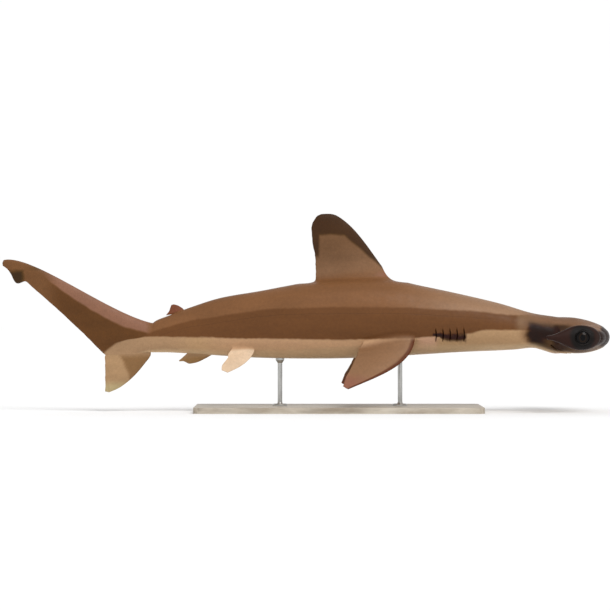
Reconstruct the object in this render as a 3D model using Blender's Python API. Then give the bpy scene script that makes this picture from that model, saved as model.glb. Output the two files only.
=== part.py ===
"""Scalloped hammerhead shark, life size, held level on a plain display stand.

Metres, +Z up. The snout points along +X and the two sides mirror each other across Y = 0.
The origin is on the floor under the middle of the length.
The flesh is drawn once as half a closed surface, mirrored, and then parted into its
named pieces by cuts as narrow as the gap that touching pieces keep.
"""

import math

import bmesh
import bpy
from mathutils import Matrix, Vector
from mathutils.bvhtree import BVHTree

# Gap between pieces that touch.
GAP = 0.0003

# Whole animal: the snout front and the level of the head's middle above the floor.
SNOUT_X = 0.908
HEAD_LEVEL = 0.2245

# Side outline of the trunk: place along the length, height above the floor.
BACK_LINE = (
    (-0.465, 0.2675),
    (-0.420, 0.284),
    (-0.345, 0.3125),
    (-0.255, 0.341),
    (-0.135, 0.362),
    (0.009, 0.388),
    (0.135, 0.399),
    (0.264, 0.395),
    (0.345, 0.3785),
    (0.465, 0.353),
    (0.585, 0.3245),
    (0.681, 0.296),
    (0.758, 0.284),
)
BELLY_LINE = (
    (-0.465, 0.178),
    (-0.399, 0.1775),
    (-0.279, 0.170),
    (-0.135, 0.1618),
    (-0.015, 0.1595),
    (0.100, 0.160),
    (0.225, 0.164),
    (0.345, 0.1715),
    (0.465, 0.179),
    (0.585, 0.184),
    (0.633, 0.187),
    (0.678, 0.1915),
    (0.703, 0.1885),
    (0.728, 0.1795),
    (0.758, 0.1770),
)
HALF_WIDTH = (
    (-0.465, 0.026),
    (-0.420, 0.031),
    (-0.345, 0.040),
    (-0.255, 0.053),
    (-0.135, 0.073),
    (0.000, 0.089),
    (0.135, 0.096),
    (0.225, 0.097),
    (0.345, 0.094),
    (0.465, 0.085),
    (0.540, 0.078),
    (0.620, 0.070),
    (0.720, 0.064),
    (0.758, 0.063),
)
WIDEST_LEVEL = 0.46
SECTION_POWER = 2.15

# Grain of the half surface: cells from back to shoulder line, down the side, and to the belly.
TOP_CELLS = 5
SIDE_CELLS = 4
RING_CELLS = 2 * TOP_CELLS + SIDE_CELLS
BAND = TOP_CELLS + SIDE_CELLS

# Hammer, in distance behind the snout front and out from the midline.
HAMMER_ROOT = 0.063
HAMMER_HALF_SPAN = 0.2395
HAMMER_END_BULGE = 0.0065
NECK_START = 0.150
FRONT_SWEEP = 0.052
FRONT_NOTCHES = (
    (0.000, 0.011, 0.024),
    (0.131, 0.007, 0.016),
    (0.203, 0.009, 0.010),
)
REAR_SWEEP = 0.056
HAMMER_HALF_THICKNESS = (
    (0.000, 0.0535),
    (0.030, 0.0520),
    (0.063, 0.044),
    (0.095, 0.036),
    (0.131, 0.0305),
    (0.166, 0.0300),
    (0.196, 0.0325),
    (0.216, 0.0365),
    (0.228, 0.0360),
    (0.235, 0.0325),
    (0.2395, 0.0270),
)
REAR_EDGE_HALF = (
    (0.000, 0.0535),
    (0.026, 0.0505),
    (0.040, 0.045),
    (0.052, 0.038),
    (0.063, 0.029),
    (0.076, 0.018),
    (0.092, 0.0115),
    (0.128, 0.008),
    (0.166, 0.007),
    (0.2395, 0.006),
)
THICKEST_CHORD = (0.70, 0.38)
NOSE_POWER = (1.6, 2.2)
CENTRE_LIFT = 0.006

# Eyes on the ends of the hammer.
EYE_BEHIND_SNOUT = 0.097
EYE_RADIUS = 0.029
EYE_OPENING = 0.0185
LID_RADIUS = 0.0030
EYE_FACE = 0.2450

# Gill slits, counted from the head back.
FIRST_SLIT_X = 0.471
SLIT_SPACING = 0.021
SLIT_COUNT = 5
SLIT_LEVEL = 0.2290
SLIT_HALF_HEIGHT = 0.019
SLIT_WIDTH = 0.0016
SLIT_DEPTH = 0.006
FLAP_LIFT = 0.0020
FLAP_DROP = 0.0012

# Mouth on the underside, an arch open to the rear.
MOUTH_FRONT = 0.118
MOUTH_REAR = 0.176
MOUTH_HALF_WIDTH = 0.056
LIP_RADIUS = 0.0052
LIP_RISE = 0.0016
MOUTH_SLIT_RADIUS = 0.0016

# Nostril slit and the groove that runs inwards from it along the front edge.
NOSTRIL_Y = 0.203
NOSTRIL_RADIUS = 0.0048
GROOVE_INNER_Y = 0.128
GROOVE_OUTER_Y = 0.214
GROOVE_RADIUS = 0.0024
GROOVE_DROP = 0.006

# Fins in side view: each edge is a cubic through its first and last points.
DORSAL_BASE = (0.2655, 0.030)
DORSAL_FRONT = ((0.2655, 0.395), (0.216, 0.437), (0.132, 0.620), (0.0465, 0.592))
DORSAL_REAR = ((0.0085, 0.3915), (0.070, 0.425), (-0.015, 0.539), (0.0355, 0.587))
DORSAL_HALF = (0.0105, 0.0024)

SECOND_BASE = (-0.3615, -0.400)
SECOND_FRONT = ((-0.3615, 0.3065), (-0.372, 0.314), (-0.384, 0.322), (-0.3945, 0.322))
SECOND_REAR = ((-0.417, 0.289), (-0.4035, 0.299), (-0.408, 0.311), (-0.402, 0.320))
SECOND_HALF = (0.0040, 0.0014)

ANAL_BASE = (-0.279, -0.354)
ANAL_FRONT = ((-0.279, 0.170), (-0.304, 0.157), (-0.326, 0.1435), (-0.346, 0.1438))
ANAL_REAR = ((-0.3785, 0.1535), (-0.368, 0.1525), (-0.358, 0.149), (-0.350, 0.1445))
ANAL_HALF = (0.0045, 0.0014)

PECTORAL_BASE = (0.327, 0.174)
PECTORAL_BASE_LEVEL = (0.221, 0.203)
PECTORAL_FRONT = ((0.327, 0.221), (0.318, 0.143), (0.225, 0.113), (0.129, 0.074))
PECTORAL_REAR = ((0.1605, 0.191), (0.156, 0.167), (0.129, 0.131), (0.111, 0.083))
PECTORAL_REACH = 0.125
PECTORAL_HALF = (0.0105, 0.0022)
PECTORAL_OPENING = 0.0155

PELVIC_BASE = (-0.150, -0.216)
PELVIC_BASE_LEVEL = (0.186, 0.188)
PELVIC_FRONT = ((-0.150, 0.185), (-0.165, 0.149), (-0.195, 0.134), (-0.228, 0.1205))
PELVIC_REAR = ((-0.228, 0.176), (-0.225, 0.155), (-0.252, 0.149), (-0.2475, 0.128))
PELVIC_REACH = 0.050
PELVIC_HALF = (0.0050, 0.0014)
PELVIC_OPENING = 0.0080

LOWER_LOBE_BASE = ((-0.462, 0.178), (-0.601, 0.171))
LOWER_FRONT = ((-0.457, 0.1765), (-0.486, 0.135), (-0.529, 0.076), (-0.588, 0.058))
LOWER_REAR = ((-0.601, 0.171), (-0.599, 0.135), (-0.599, 0.098), (-0.600, 0.0605))
LOWER_HALF = (0.0070, 0.0018)

UPPER_FRONT = ((-0.465, 0.2675), (-0.600, 0.302), (-0.820, 0.474), (-0.9035, 0.455))
UPPER_FORK_PART = 0.22
UPPER_REAR_END = (-0.831, 0.3855)
UPPER_REAR_BOW = 0.004
UPPER_NOTCH = (-0.843, 0.3905)
TERMINAL_EDGE = ((-0.858, 0.3845), (-0.879, 0.383), (-0.873, 0.419), (-0.9055, 0.437))
UPPER_HALF_WIDTH = (
    (0.00, 0.0260),
    (0.10, 0.0190),
    (0.22, 0.0140),
    (0.45, 0.0100),
    (0.70, 0.0065),
    (0.90, 0.0035),
    (1.00, 0.0015),
)
THIN_EDGE_HALF = 0.0011
PIT_X = -0.4560
PIT_DEPTH = 0.0045

# Display stand.
BASE_CENTRE_X = 0.100
BASE_LENGTH = 0.860
BASE_WIDTH = 0.380
BASE_THICKNESS = 0.018
BASE_CORNER = 0.020
BASE_BEVEL = 0.002
ROD_FRONT_X = 0.285
ROD_REAR_X = -0.075
ROD_RADIUS = 0.0070
ROD_FOOT_RADIUS = 0.022
ROD_FOOT_HEIGHT = 0.006
ROD_PAD_RADIUS = 0.013
ROD_PAD_HEIGHT = 0.010
ROD_SIDES = 24

# Cuts between the pieces of flesh.
HAMMER_CUT_Y = 0.070
HEAD_CUT_X = 0.505
GILL_CUT_X = 0.352
TORSO_CUT_X = -0.252
TAIL_CUT_X = -0.4575

# Colours of the pieces, linear red, green, blue.
SKIN_BROWN = (0.230, 0.105, 0.048)
HEAD_BROWN = (0.150, 0.070, 0.032)
FIN_BROWN = (0.160, 0.085, 0.045)
TAIL_BROWN = (0.200, 0.100, 0.050)
PALE_FIN = (0.640, 0.470, 0.330)
EYE_BLACK = (0.012, 0.010, 0.010)
BASE_GREY = (0.560, 0.540, 0.500)
STEEL = (0.560, 0.560, 0.560)


def value_at(table, place):
    """Smooth value between the rows of a table sorted by place."""
    if place <= table[0][0]:
        return table[0][1]
    if place >= table[-1][0]:
        return table[-1][1]
    index = 0
    while table[index + 1][0] < place:
        index += 1
    x0, y0 = table[index]
    x1, y1 = table[index + 1]
    run = x1 - x0
    here = (y1 - y0) / run

    def slope(low, high):
        if low < 0 or high >= len(table):
            return here
        return (table[high][1] - table[low][1]) / (table[high][0] - table[low][0])

    m0 = slope(index - 1, index + 1) * run
    m1 = slope(index, index + 2) * run
    t = (place - x0) / run
    return (
        y0 * (2 * t**3 - 3 * t**2 + 1)
        + m0 * (t**3 - 2 * t**2 + t)
        + y1 * (3 * t**2 - 2 * t**3)
        + m1 * (t**3 - t**2)
    )


def cubic(points, t):
    """Point on a cubic edge curve, as (x, z)."""
    weights = ((1 - t) ** 3, 3 * t * (1 - t) ** 2, 3 * t * t * (1 - t), t**3)
    x = sum(w * p[0] for w, p in zip(weights, points))
    z = sum(w * p[1] for w, p in zip(weights, points))
    return x, z


def mix(a, b, t):
    return a + (b - a) * t


def smooth_step(t):
    t = min(1.0, max(0.0, t))
    return t * t * (3 - 2 * t)


def spaced(start, end, cells, style="even"):
    """Places from start to end, closer together at the ends that style names."""
    places = []
    for step in range(cells + 1):
        t = step / cells
        if style == "both":
            t = (1 - math.cos(math.pi * t)) / 2
        elif style == "start":
            t = 1 - math.cos(math.pi * t / 2)
        elif style == "end":
            t = math.sin(math.pi * t / 2)
        places.append(mix(start, end, t))
    return places


def fin_profile(chord, edge=0.0):
    """Half thickness of a fin or wing section, from 0 at the front to edge at the rear."""
    peak = 0.32
    if chord < peak:
        return math.sqrt(max(0.0, 1 - ((peak - chord) / peak) ** 2))
    fall = (1 + math.cos(math.pi * (chord - peak) / (1 - peak))) / 2
    return edge + (1 - edge) * fall


class Skin:
    """Points and four sided faces of the half surface."""

    def __init__(self):
        self.points = []
        self.faces = []

    def point(self, x, y, z):
        self.points.append(Vector((x, y, z)))
        return len(self.points) - 1

    def row(self, coordinates):
        return [self.point(*place) for place in coordinates]

    def sheet(self, first, second):
        """Faces between two rows of points of the same length."""
        for k in range(len(first) - 1):
            self.faces.append((first[k], first[k + 1], second[k + 1], second[k]))


def trunk_section(x):
    top = value_at(BACK_LINE, x)
    bottom = value_at(BELLY_LINE, x)
    pit = math.exp(-(((x - PIT_X) / 0.006) ** 2))
    top -= PIT_DEPTH * pit
    return top, bottom, value_at(HALF_WIDTH, x)


def point_on_section(section, angle):
    """Out and height at an angle above the widest level, in degrees."""
    top, bottom, half = section
    widest = mix(bottom, top, WIDEST_LEVEL)
    turn = math.radians(angle)
    out = half * abs(math.cos(turn)) ** (2 / SECTION_POWER)
    rise = abs(math.sin(turn)) ** (2 / SECTION_POWER)
    if angle >= 0:
        return out, widest + (top - widest) * rise
    return out, widest - (widest - bottom) * rise


def angle_at_level(x, level):
    """Angle on the lower flank whose point has the given height."""
    top, bottom, _ = trunk_section(x)
    widest = mix(bottom, top, WIDEST_LEVEL)
    part = min(1.0, max(0.0, (widest - level) / (widest - bottom)))
    return -math.degrees(math.asin(part ** (SECTION_POWER / 2)))


def paired_root(x, base, levels, opening):
    """Angles above and below the root of a paired fin at a place along its base."""
    chord = (base[0] - x) / (base[0] - base[1])
    level = mix(levels[0], levels[1], chord)
    half = 0.006 + (opening - 0.006) * math.sin(math.pi * min(1.0, chord) ** 0.75)
    return angle_at_level(x, level + half), angle_at_level(x, level - half)


def band_keys():
    """Angles of the row above and below the paired fins, at places along the body."""
    keys = [(-0.465, -26, -52), (-0.290, -28, -52)]
    keys.append((PELVIC_BASE[1], *pelvic_root(PELVIC_BASE[1])))
    keys.append((PELVIC_BASE[0], *pelvic_root(PELVIC_BASE[0])))
    keys.append((PECTORAL_BASE[1], *pectoral_root(PECTORAL_BASE[1])))
    keys.append((PECTORAL_BASE[0], *pectoral_root(PECTORAL_BASE[0])))
    keys += [(0.410, -26, -48), (0.600, -26, -50), (0.745, -35, -58)]
    return keys


def pectoral_root(x):
    return paired_root(x, PECTORAL_BASE, PECTORAL_BASE_LEVEL, PECTORAL_OPENING)


def pelvic_root(x):
    return paired_root(x, PELVIC_BASE, PELVIC_BASE_LEVEL, PELVIC_OPENING)


def band_angles(x):
    if PECTORAL_BASE[1] <= x <= PECTORAL_BASE[0]:
        return pectoral_root(x)
    if PELVIC_BASE[1] <= x <= PELVIC_BASE[0]:
        return pelvic_root(x)
    keys = band_keys()
    if x <= keys[0][0]:
        return keys[0][1:]
    if x >= keys[-1][0]:
        return keys[-1][1:]
    index = 0
    while keys[index + 1][0] < x:
        index += 1
    low, high = keys[index], keys[index + 1]
    t = smooth_step((x - low[0]) / (high[0] - low[0]))
    return mix(low[1], high[1], t), mix(low[2], high[2], t)


def ring_angles(x):
    """Angles of the points round half a section, from the back down to the belly."""
    shoulder = mix(27, 35, smooth_step((x - 0.60) / 0.145))
    band_top, band_bottom = band_angles(x)
    angles = spaced(90, shoulder, TOP_CELLS)
    angles += spaced(shoulder, band_top, SIDE_CELLS)[1:]
    angles += spaced(band_top, band_bottom, 2)[1:]
    angles += spaced(band_bottom, -90, TOP_CELLS - 2)[1:]
    return angles


def slit_places():
    return [FIRST_SLIT_X - SLIT_SPACING * n for n in range(SLIT_COUNT)]


def flap_relief(x, height):
    """How far the skin stands out over the gill flaps."""
    fade = 1 - smooth_step((abs(height - SLIT_LEVEL) - SLIT_HALF_HEIGHT * 0.8) / 0.016)
    if fade <= 0:
        return 0.0
    for place in slit_places():
        behind = place - x
        if -0.0045 <= behind < 0.0002:
            return FLAP_LIFT * fade * smooth_step((behind + 0.0095) / 0.009)
        if 0.0002 <= behind < 0.0060:
            return -FLAP_DROP * fade * (1 - behind / 0.0075)
    return 0.0


def trunk_places():
    """Places of the sections along the trunk, from the neck to the root of the tail."""
    places = spaced(0.742, 0.505, 9)
    places += spaced(0.505, FIRST_SLIT_X + 0.006, 2)[1:]
    for place in slit_places():
        places += [place, place - 0.0040, place - 0.0120]
    places += spaced(0.374, PECTORAL_BASE[0], 3, "end")[1:]
    places += spaced(PECTORAL_BASE[0], DORSAL_BASE[0], 4, "both")[1:]
    places += spaced(DORSAL_BASE[0], PECTORAL_BASE[1], 6, "both")[1:]
    places += spaced(PECTORAL_BASE[1], DORSAL_BASE[1], 7, "both")[1:]
    places += spaced(DORSAL_BASE[1], PELVIC_BASE[0], 7)[1:]
    places += spaced(PELVIC_BASE[0], PELVIC_BASE[1], 6, "both")[1:]
    places += spaced(PELVIC_BASE[1], ANAL_BASE[0], 3)[1:]
    places += spaced(ANAL_BASE[0], ANAL_BASE[1], 6, "both")[1:]
    places += [-0.3590]
    places += spaced(SECOND_BASE[0], SECOND_BASE[1], 4, "both")
    places += spaced(SECOND_BASE[1], -0.4500, 3)[1:]
    places += [PIT_X]
    return places


def trunk_ring(x):
    section = trunk_section(x)
    ring = []
    for angle in ring_angles(x):
        out, height = point_on_section(section, angle)
        if 1 < abs(angle) < 89:
            out += flap_relief(x, height)
        ring.append((x, -out, height))
    ring[0] = (x, 0.0, section[0])
    ring[-1] = (x, 0.0, section[1])
    return ring


def front_edge(out):
    """Distance of the hammer's front edge behind the snout front."""
    sweep = FRONT_SWEEP * ((out / 0.235) ** 2 - (0.060 / 0.235) ** 2)
    notches = sum(deep * math.exp(-(((out - y) / wide) ** 2)) for y, deep, wide in FRONT_NOTCHES)
    corner = 0.010 * smooth_step((out - 0.226) / 0.0135)
    return max(0.0, sweep) + notches + corner


def rear_edge(out):
    past = max(0.0, out - HAMMER_ROOT) / (HAMMER_HALF_SPAN - HAMMER_ROOT)
    corner = 0.006 * smooth_step((out - 0.230) / 0.0095)
    return NECK_START + REAR_SWEEP * past**1.5 - corner


def hammer_half(out, chord):
    """Half thickness of the hammer at a place out from the middle and back from the front edge."""
    thick = value_at(HAMMER_HALF_THICKNESS, out)
    rear = value_at(REAR_EDGE_HALF, out)
    outward = smooth_step(out / 0.10)
    peak = mix(*THICKEST_CHORD, outward)
    if chord < peak:
        nose = ((peak - chord) / peak) ** mix(*NOSE_POWER, outward)
        return thick * math.sqrt(max(0.0, 1 - nose))
    fall = (1 + math.cos(math.pi * (chord - peak) / (1 - peak))) / 2
    return rear + (thick - rear) * fall


def hammer_point(out, chord, lift):
    """Point of the hammer, with lift from -1 on the underside to 1 on top."""
    behind = mix(front_edge(out), rear_edge(out), chord)
    middle = HEAD_LEVEL + CENTRE_LIFT * smooth_step(behind / NECK_START) * math.exp(-((out / 0.055) ** 2))
    return SNOUT_X - behind, -out, middle + lift * hammer_half(out, chord)


def hammer_columns():
    columns = spaced(0.0, HAMMER_ROOT, TOP_CELLS)
    columns += [0.076, 0.092, 0.110, 0.128, 0.145, 0.162, 0.178, 0.192, 0.204, 0.215, 0.2245, 0.232]
    columns += [HAMMER_HALF_SPAN]
    return columns


CHORDS = (1.0, 0.88, 0.76, 0.64, 0.52, 0.42, 0.345, 0.27, 0.195, 0.12, 0.045)
NOSE_CHORDS = (0.045, 0.013, 0.0, 0.013, 0.045)
REAR_CHORDS = (0.985, 0.996, 1.0, 0.996, 0.985)
REAR_LIFTS = (1.0, 0.72, 0.0, -0.72, -1.0)


def hammer_loop(skin, index, out):
    """Top, nose, underside and rear rows of one section of the hammer."""
    chords = list(CHORDS)
    if index > TOP_CELLS:
        chords[0] = REAR_CHORDS[0]
    top = [hammer_point(out, chord, 1.0) for chord in chords]
    under = [hammer_point(out, chord, -1.0) for chord in chords]
    top_row = skin.row(top)
    under_row = skin.row(under)
    nose = [top_row[-1]]
    for chord, side in zip(NOSE_CHORDS[1:-1], (1.0, 0.0, -1.0)):
        nose.append(skin.point(*hammer_point(out, chord, side)))
    nose.append(under_row[-1])
    rear = None
    if index >= TOP_CELLS:
        rear = [top_row[0]]
        for part in range(1, SIDE_CELLS):
            if index == TOP_CELLS:
                place = hammer_point(out, 1.0, 1 - 2 * part / SIDE_CELLS)
            else:
                place = hammer_point(out, REAR_CHORDS[part], REAR_LIFTS[part])
            rear.append(skin.point(*place))
        rear.append(under_row[0])
    return top_row, nose, under_row, rear


def hammer(skin):
    """Half of the head's hammer, and the ring where the neck joins it."""
    columns = hammer_columns()
    loops = [hammer_loop(skin, index, out) for index, out in enumerate(columns)]
    for index in range(len(loops) - 1):
        for part in range(3):
            skin.sheet(loops[index][part], loops[index + 1][part])
        if index >= TOP_CELLS:
            skin.sheet(loops[index][3], loops[index + 1][3])
    hammer_end(skin, loops[-1])
    ring = [loops[index][0][0] for index in range(TOP_CELLS)]
    ring += loops[TOP_CELLS][3]
    ring += [loops[index][2][0] for index in range(TOP_CELLS - 1, -1, -1)]
    return ring


def hammer_end(skin, loop):
    """Bulging end face of the hammer, where the eye sits."""
    top, nose, under, rear = loop
    rows = [list(rear)]
    for index in range(1, len(top) - 1):
        chord = CHORDS[index]
        row = [top[index]]
        for part in range(1, SIDE_CELLS):
            lift = 1 - 2 * part / SIDE_CELLS
            bulge = HAMMER_END_BULGE * (1 - lift * lift) * math.sin(math.pi * chord) ** 0.5
            out = HAMMER_HALF_SPAN + bulge
            x, _, z = hammer_point(HAMMER_HALF_SPAN, chord, lift)
            row.append(skin.point(x, -out, z))
        row.append(under[index])
        rows.append(row)
    rows.append(list(nose))
    for first, second in zip(rows, rows[1:]):
        skin.sheet(first, second)


def tail_sections():
    """Upper edge place, lower edge point and lower root part of each section of the tail."""
    sections = []
    front, fork = LOWER_LOBE_BASE
    for t in spaced(0.0, 1.0, 7, "both"):
        lower = (mix(front[0], fork[0], t), mix(front[1], fork[1], t))
        sections.append((UPPER_FORK_PART * t, lower, t))
    for t in spaced(0.0, 1.0, 9)[1:]:
        bow = UPPER_REAR_BOW * math.sin(math.pi * t)
        lower = (mix(fork[0], UPPER_REAR_END[0], t), mix(fork[1], UPPER_REAR_END[1], t) + bow)
        sections.append((mix(UPPER_FORK_PART, 0.79, t), lower, None))
    sections.append((0.825, UPPER_NOTCH, None))
    for t in (0.0, 0.25, 0.55, 0.85):
        sections.append((mix(0.855, 0.985, t), cubic(TERMINAL_EDGE, t), None))
    return sections


def tail_ring(part, lower, root):
    upper = cubic(UPPER_FRONT, part)
    half = value_at(UPPER_HALF_WIDTH, part)
    blade = 1.0 if root is None else smooth_step(root)
    floor = 0.0
    if root is not None:
        floor = LOWER_HALF[0] * fin_profile(root) * smooth_step(root * 8)
    ring = []
    for k in range(RING_CELLS + 1):
        down = (1 - math.cos(math.pi * k / RING_CELLS)) / 2
        x = mix(upper[0], lower[0], down)
        z = mix(upper[1], lower[1], down)
        oval = math.sin(math.pi * k / RING_CELLS)
        web = fin_profile(down, THIN_EDGE_HALF / half)
        out = math.hypot(half * mix(oval, web, blade), floor * down)
        if k == 0 or (k == RING_CELLS and floor < 1e-6):
            out = 0.0
        ring.append((x, -out, z))
    return ring


def tail_tip():
    upper = cubic(UPPER_FRONT, 1.0)
    lower = cubic(TERMINAL_EDGE, 1.0)
    ring = []
    for k in range(RING_CELLS + 1):
        down = (1 - math.cos(math.pi * k / RING_CELLS)) / 2
        bulge = 0.0030 * math.sin(math.pi * down)
        ring.append((mix(upper[0], lower[0], down) - bulge, 0.0, mix(upper[1], lower[1], down)))
    return ring


def median_fin(skin, base, front, rear, halves, rows, free_tip=True):
    """Half of a fin on the midline, grown from the row of points along its base."""
    start = skin.points[base[0]].copy()
    length = start.x - skin.points[base[-1]].x
    chords = [(start.x - skin.points[k].x) / length for k in base]
    for k, chord in zip(base[1:-1], chords[1:-1]):
        skin.points[k].y = -max(0.0012, 1.15 * halves[0] * fin_profile(chord))
    first = 1 / rows * 0.55
    previous = list(base)
    for step in range(1, rows + 1):
        rise = first + (1 - first) * (step - 1) / (rows - 1)
        lead = cubic(front, rise)
        trail = cubic(rear, (rise - first) / (1 - first) if free_tip else rise)
        half = mix(halves[0], halves[1], rise)
        row = []
        for index, chord in enumerate(chords):
            edge = index in (0, len(chords) - 1) or step == rows
            out = 0.0 if edge else max(THIN_EDGE_HALF, half * fin_profile(chord))
            row.append(skin.point(mix(lead[0], trail[0], chord), -out, mix(lead[1], trail[1], chord)))
        skin.sheet(previous, row)
        previous = row


def paired_fin(skin, upper, middle, lower, front, rear, reach, halves, rows):
    """Fin on the lower flank, grown from the gap between two rows of points."""
    start = skin.points[middle[0]].copy()
    end = skin.points[middle[-1]].copy()
    length = start.x - end.x
    chords = [(start.x - skin.points[k].x) / length for k in middle]
    previous = [list(upper), list(lower), middle[0], middle[-1]]
    steps = [0.045, 0.13, 0.24, 0.37, 0.51, 0.65, 0.79, 0.91, 1.0]
    steps = [steps[round(n * (len(steps) - 1) / (rows - 1))] for n in range(rows)]
    for rise in steps:
        lead = Vector((*cubic(front, rise), 0.0)).xzy
        trail = Vector((*cubic(rear, (rise - steps[0]) / (1 - steps[0])), 0.0)).xzy
        out = reach * rise ** 0.95
        lead.y = start.y - out
        trail.y = mix(end.y, start.y, 0.2 + 0.8 * rise) - out
        along = (trail - lead).normalized()
        spread = Vector((-0.25, -0.72, -0.70))
        normal = along.cross(spread).normalized()
        if normal.z < 0:
            normal = -normal
        half = mix(halves[0], halves[1], rise)
        top, under = [], []
        for index, chord in enumerate(chords):
            place = min(0.985, max(0.012, chord))
            thick = max(THIN_EDGE_HALF, half * fin_profile(place))
            centre = lead.lerp(trail, place)
            top.append(skin.point(*(centre + normal * thick)))
            under.append(skin.point(*(centre - normal * thick)))
        nose = skin.point(*lead)
        tail = skin.point(*trail)
        skin.sheet(previous[0], top)
        skin.sheet(previous[1], under)
        skin.sheet([previous[0][0], previous[2], previous[1][0]], [top[0], nose, under[0]])
        skin.sheet([previous[0][-1], previous[3], previous[1][-1]], [top[-1], tail, under[-1]])
        previous = [top, under, nose, tail]
    top, under, nose, tail = previous
    centre = [nose]
    for a, b in zip(top[1:-1], under[1:-1]):
        middle_point = (skin.points[a] + skin.points[b]) / 2
        direction = Vector((-0.15, -0.70, -0.70)) * 0.0008
        centre.append(skin.point(*(middle_point + direction)))
    centre.append(tail)
    skin.sheet(top, centre)
    skin.sheet(centre, under)


def nearest(places, x):
    return min(range(len(places)), key=lambda index: abs(places[index] - x))


def half_skin():
    """The whole right half of the animal as one open surface on the midline."""
    skin = Skin()
    rings = [hammer(skin)]
    places = [SNOUT_X - NECK_START] + trunk_places()
    rings += [skin.row(trunk_ring(x)) for x in places[1:]]
    holes = []
    for base in (PECTORAL_BASE, PELVIC_BASE):
        holes.append((nearest(places, base[0]), nearest(places, base[1])))
    for index in range(len(rings) - 1):
        open_here = any(first <= index < last for first, last in holes)
        if open_here:
            skin.sheet(rings[index][: BAND + 1], rings[index + 1][: BAND + 1])
            skin.sheet(rings[index][BAND + 2 :], rings[index + 1][BAND + 2 :])
        else:
            skin.sheet(rings[index], rings[index + 1])

    sections = tail_sections()
    tail_rings = [skin.row(tail_ring(*section)) for section in sections]
    tail_rings.append(skin.row(tail_tip()))
    skin.sheet(rings[-1], tail_rings[0])
    for first, second in zip(tail_rings, tail_rings[1:]):
        skin.sheet(first, second)

    for (first, last), shape in zip(holes, paired_shapes()):
        span = rings[first : last + 1]
        upper = [ring[BAND] for ring in span]
        middle = [ring[BAND + 1] for ring in span]
        lower = [ring[BAND + 2] for ring in span]
        paired_fin(skin, upper, middle, lower, *shape)

    def base_row(base, side):
        first, last = nearest(places, base[0]), nearest(places, base[1])
        return [ring[side] for ring in rings[first : last + 1]]

    median_fin(skin, base_row(DORSAL_BASE, 0), DORSAL_FRONT, DORSAL_REAR, DORSAL_HALF, 9)
    median_fin(skin, base_row(SECOND_BASE, 0), SECOND_FRONT, SECOND_REAR, SECOND_HALF, 4)
    median_fin(skin, base_row(ANAL_BASE, -1), ANAL_FRONT, ANAL_REAR, ANAL_HALF, 4)
    lobe = [ring[-1] for ring, section in zip(tail_rings, sections) if section[2] is not None]
    median_fin(skin, lobe, LOWER_FRONT, LOWER_REAR, LOWER_HALF, 8, free_tip=False)
    return skin


def paired_shapes():
    return (
        (PECTORAL_FRONT, PECTORAL_REAR, PECTORAL_REACH, PECTORAL_HALF, 9),
        (PELVIC_FRONT, PELVIC_REAR, PELVIC_REACH, PELVIC_HALF, 5),
    )


def new_object(name, bm):
    mesh = bpy.data.meshes.new(name)
    bm.to_mesh(mesh)
    bm.free()
    obj = bpy.data.objects.new(name, mesh)
    bpy.context.scene.collection.objects.link(obj)
    return obj


def whole_body():
    """Closed surface of the whole animal."""
    skin = half_skin()
    bm = bmesh.new()
    corners = [bm.verts.new(place) for place in skin.points]
    for face in skin.faces:
        off_middle = [n for n in range(4) if abs(skin.points[face[n]].y) > 1e-9]
        turn = off_middle[0] if len(off_middle) == 1 else 0
        bm.faces.new([corners[face[(n + turn) % 4]] for n in range(4)])
    loose = [corner for corner in bm.verts if not corner.link_faces]
    bmesh.ops.delete(bm, geom=loose, context="VERTS")
    bmesh.ops.triangulate(bm, faces=bm.faces[:], quad_method="FIXED")
    everything = bm.verts[:] + bm.edges[:] + bm.faces[:]
    bmesh.ops.mirror(bm, geom=everything, axis="Y", merge_dist=0.00001)
    bmesh.ops.recalc_face_normals(bm, faces=bm.faces[:])
    return new_object("whole_body", bm)


def tube(points, radii, sides):
    """Closed round bar through points, with a radius at each."""
    bm = bmesh.new()
    rings = []
    for index, place in enumerate(points):
        before = points[max(0, index - 1)]
        after = points[min(len(points) - 1, index + 1)]
        along = (after - before).normalized()
        side = along.cross(Vector((0, 0, 1))).normalized()
        rise = side.cross(along)
        ring = []
        for k in range(sides):
            turn = 2 * math.pi * (k + 0.5) / sides
            offset = side * math.cos(turn) + rise * math.sin(turn)
            ring.append(bm.verts.new(place + offset * radii[index]))
        rings.append(ring)
    for first, second in zip(rings, rings[1:]):
        for k in range(sides):
            n = (k + 1) % sides
            bm.faces.new((first[k], first[n], second[n], second[k]))
    bm.faces.new(rings[0])
    bm.faces.new(rings[-1])
    bmesh.ops.recalc_face_normals(bm, faces=bm.faces[:])
    return new_object("bar", bm)


def slab(corners, along, thickness=GAP):
    """Thin plate through four corners, as thick as the gap, across the given direction."""
    bm = bmesh.new()
    shift = Vector(along).normalized() * (thickness / 2)
    low = [bm.verts.new(Vector(corner) - shift) for corner in corners]
    high = [bm.verts.new(Vector(corner) + shift) for corner in corners]
    bm.faces.new(low)
    bm.faces.new(high)
    count = len(corners)
    for k in range(count):
        bm.faces.new((low[k], low[(k + 1) % count], high[(k + 1) % count], high[k]))
    bmesh.ops.recalc_face_normals(bm, faces=bm.faces[:])
    return new_object("cut", bm)


def ribbon(line, half_width):
    """Thin curved plate that follows a line in side view."""
    bm = bmesh.new()
    rings = []
    for x, z in line:
        ring = []
        for y, rise in ((-1, -1), (1, -1), (1, 1), (-1, 1)):
            ring.append(bm.verts.new((x, y * half_width, z + rise * GAP / 2)))
        rings.append(ring)
    for first, second in zip(rings, rings[1:]):
        for k in range(4):
            n = (k + 1) % 4
            bm.faces.new((first[k], first[n], second[n], second[k]))
    bm.faces.new(rings[0])
    bm.faces.new(rings[-1])
    bmesh.ops.recalc_face_normals(bm, faces=bm.faces[:])
    return new_object("cut", bm)


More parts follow.
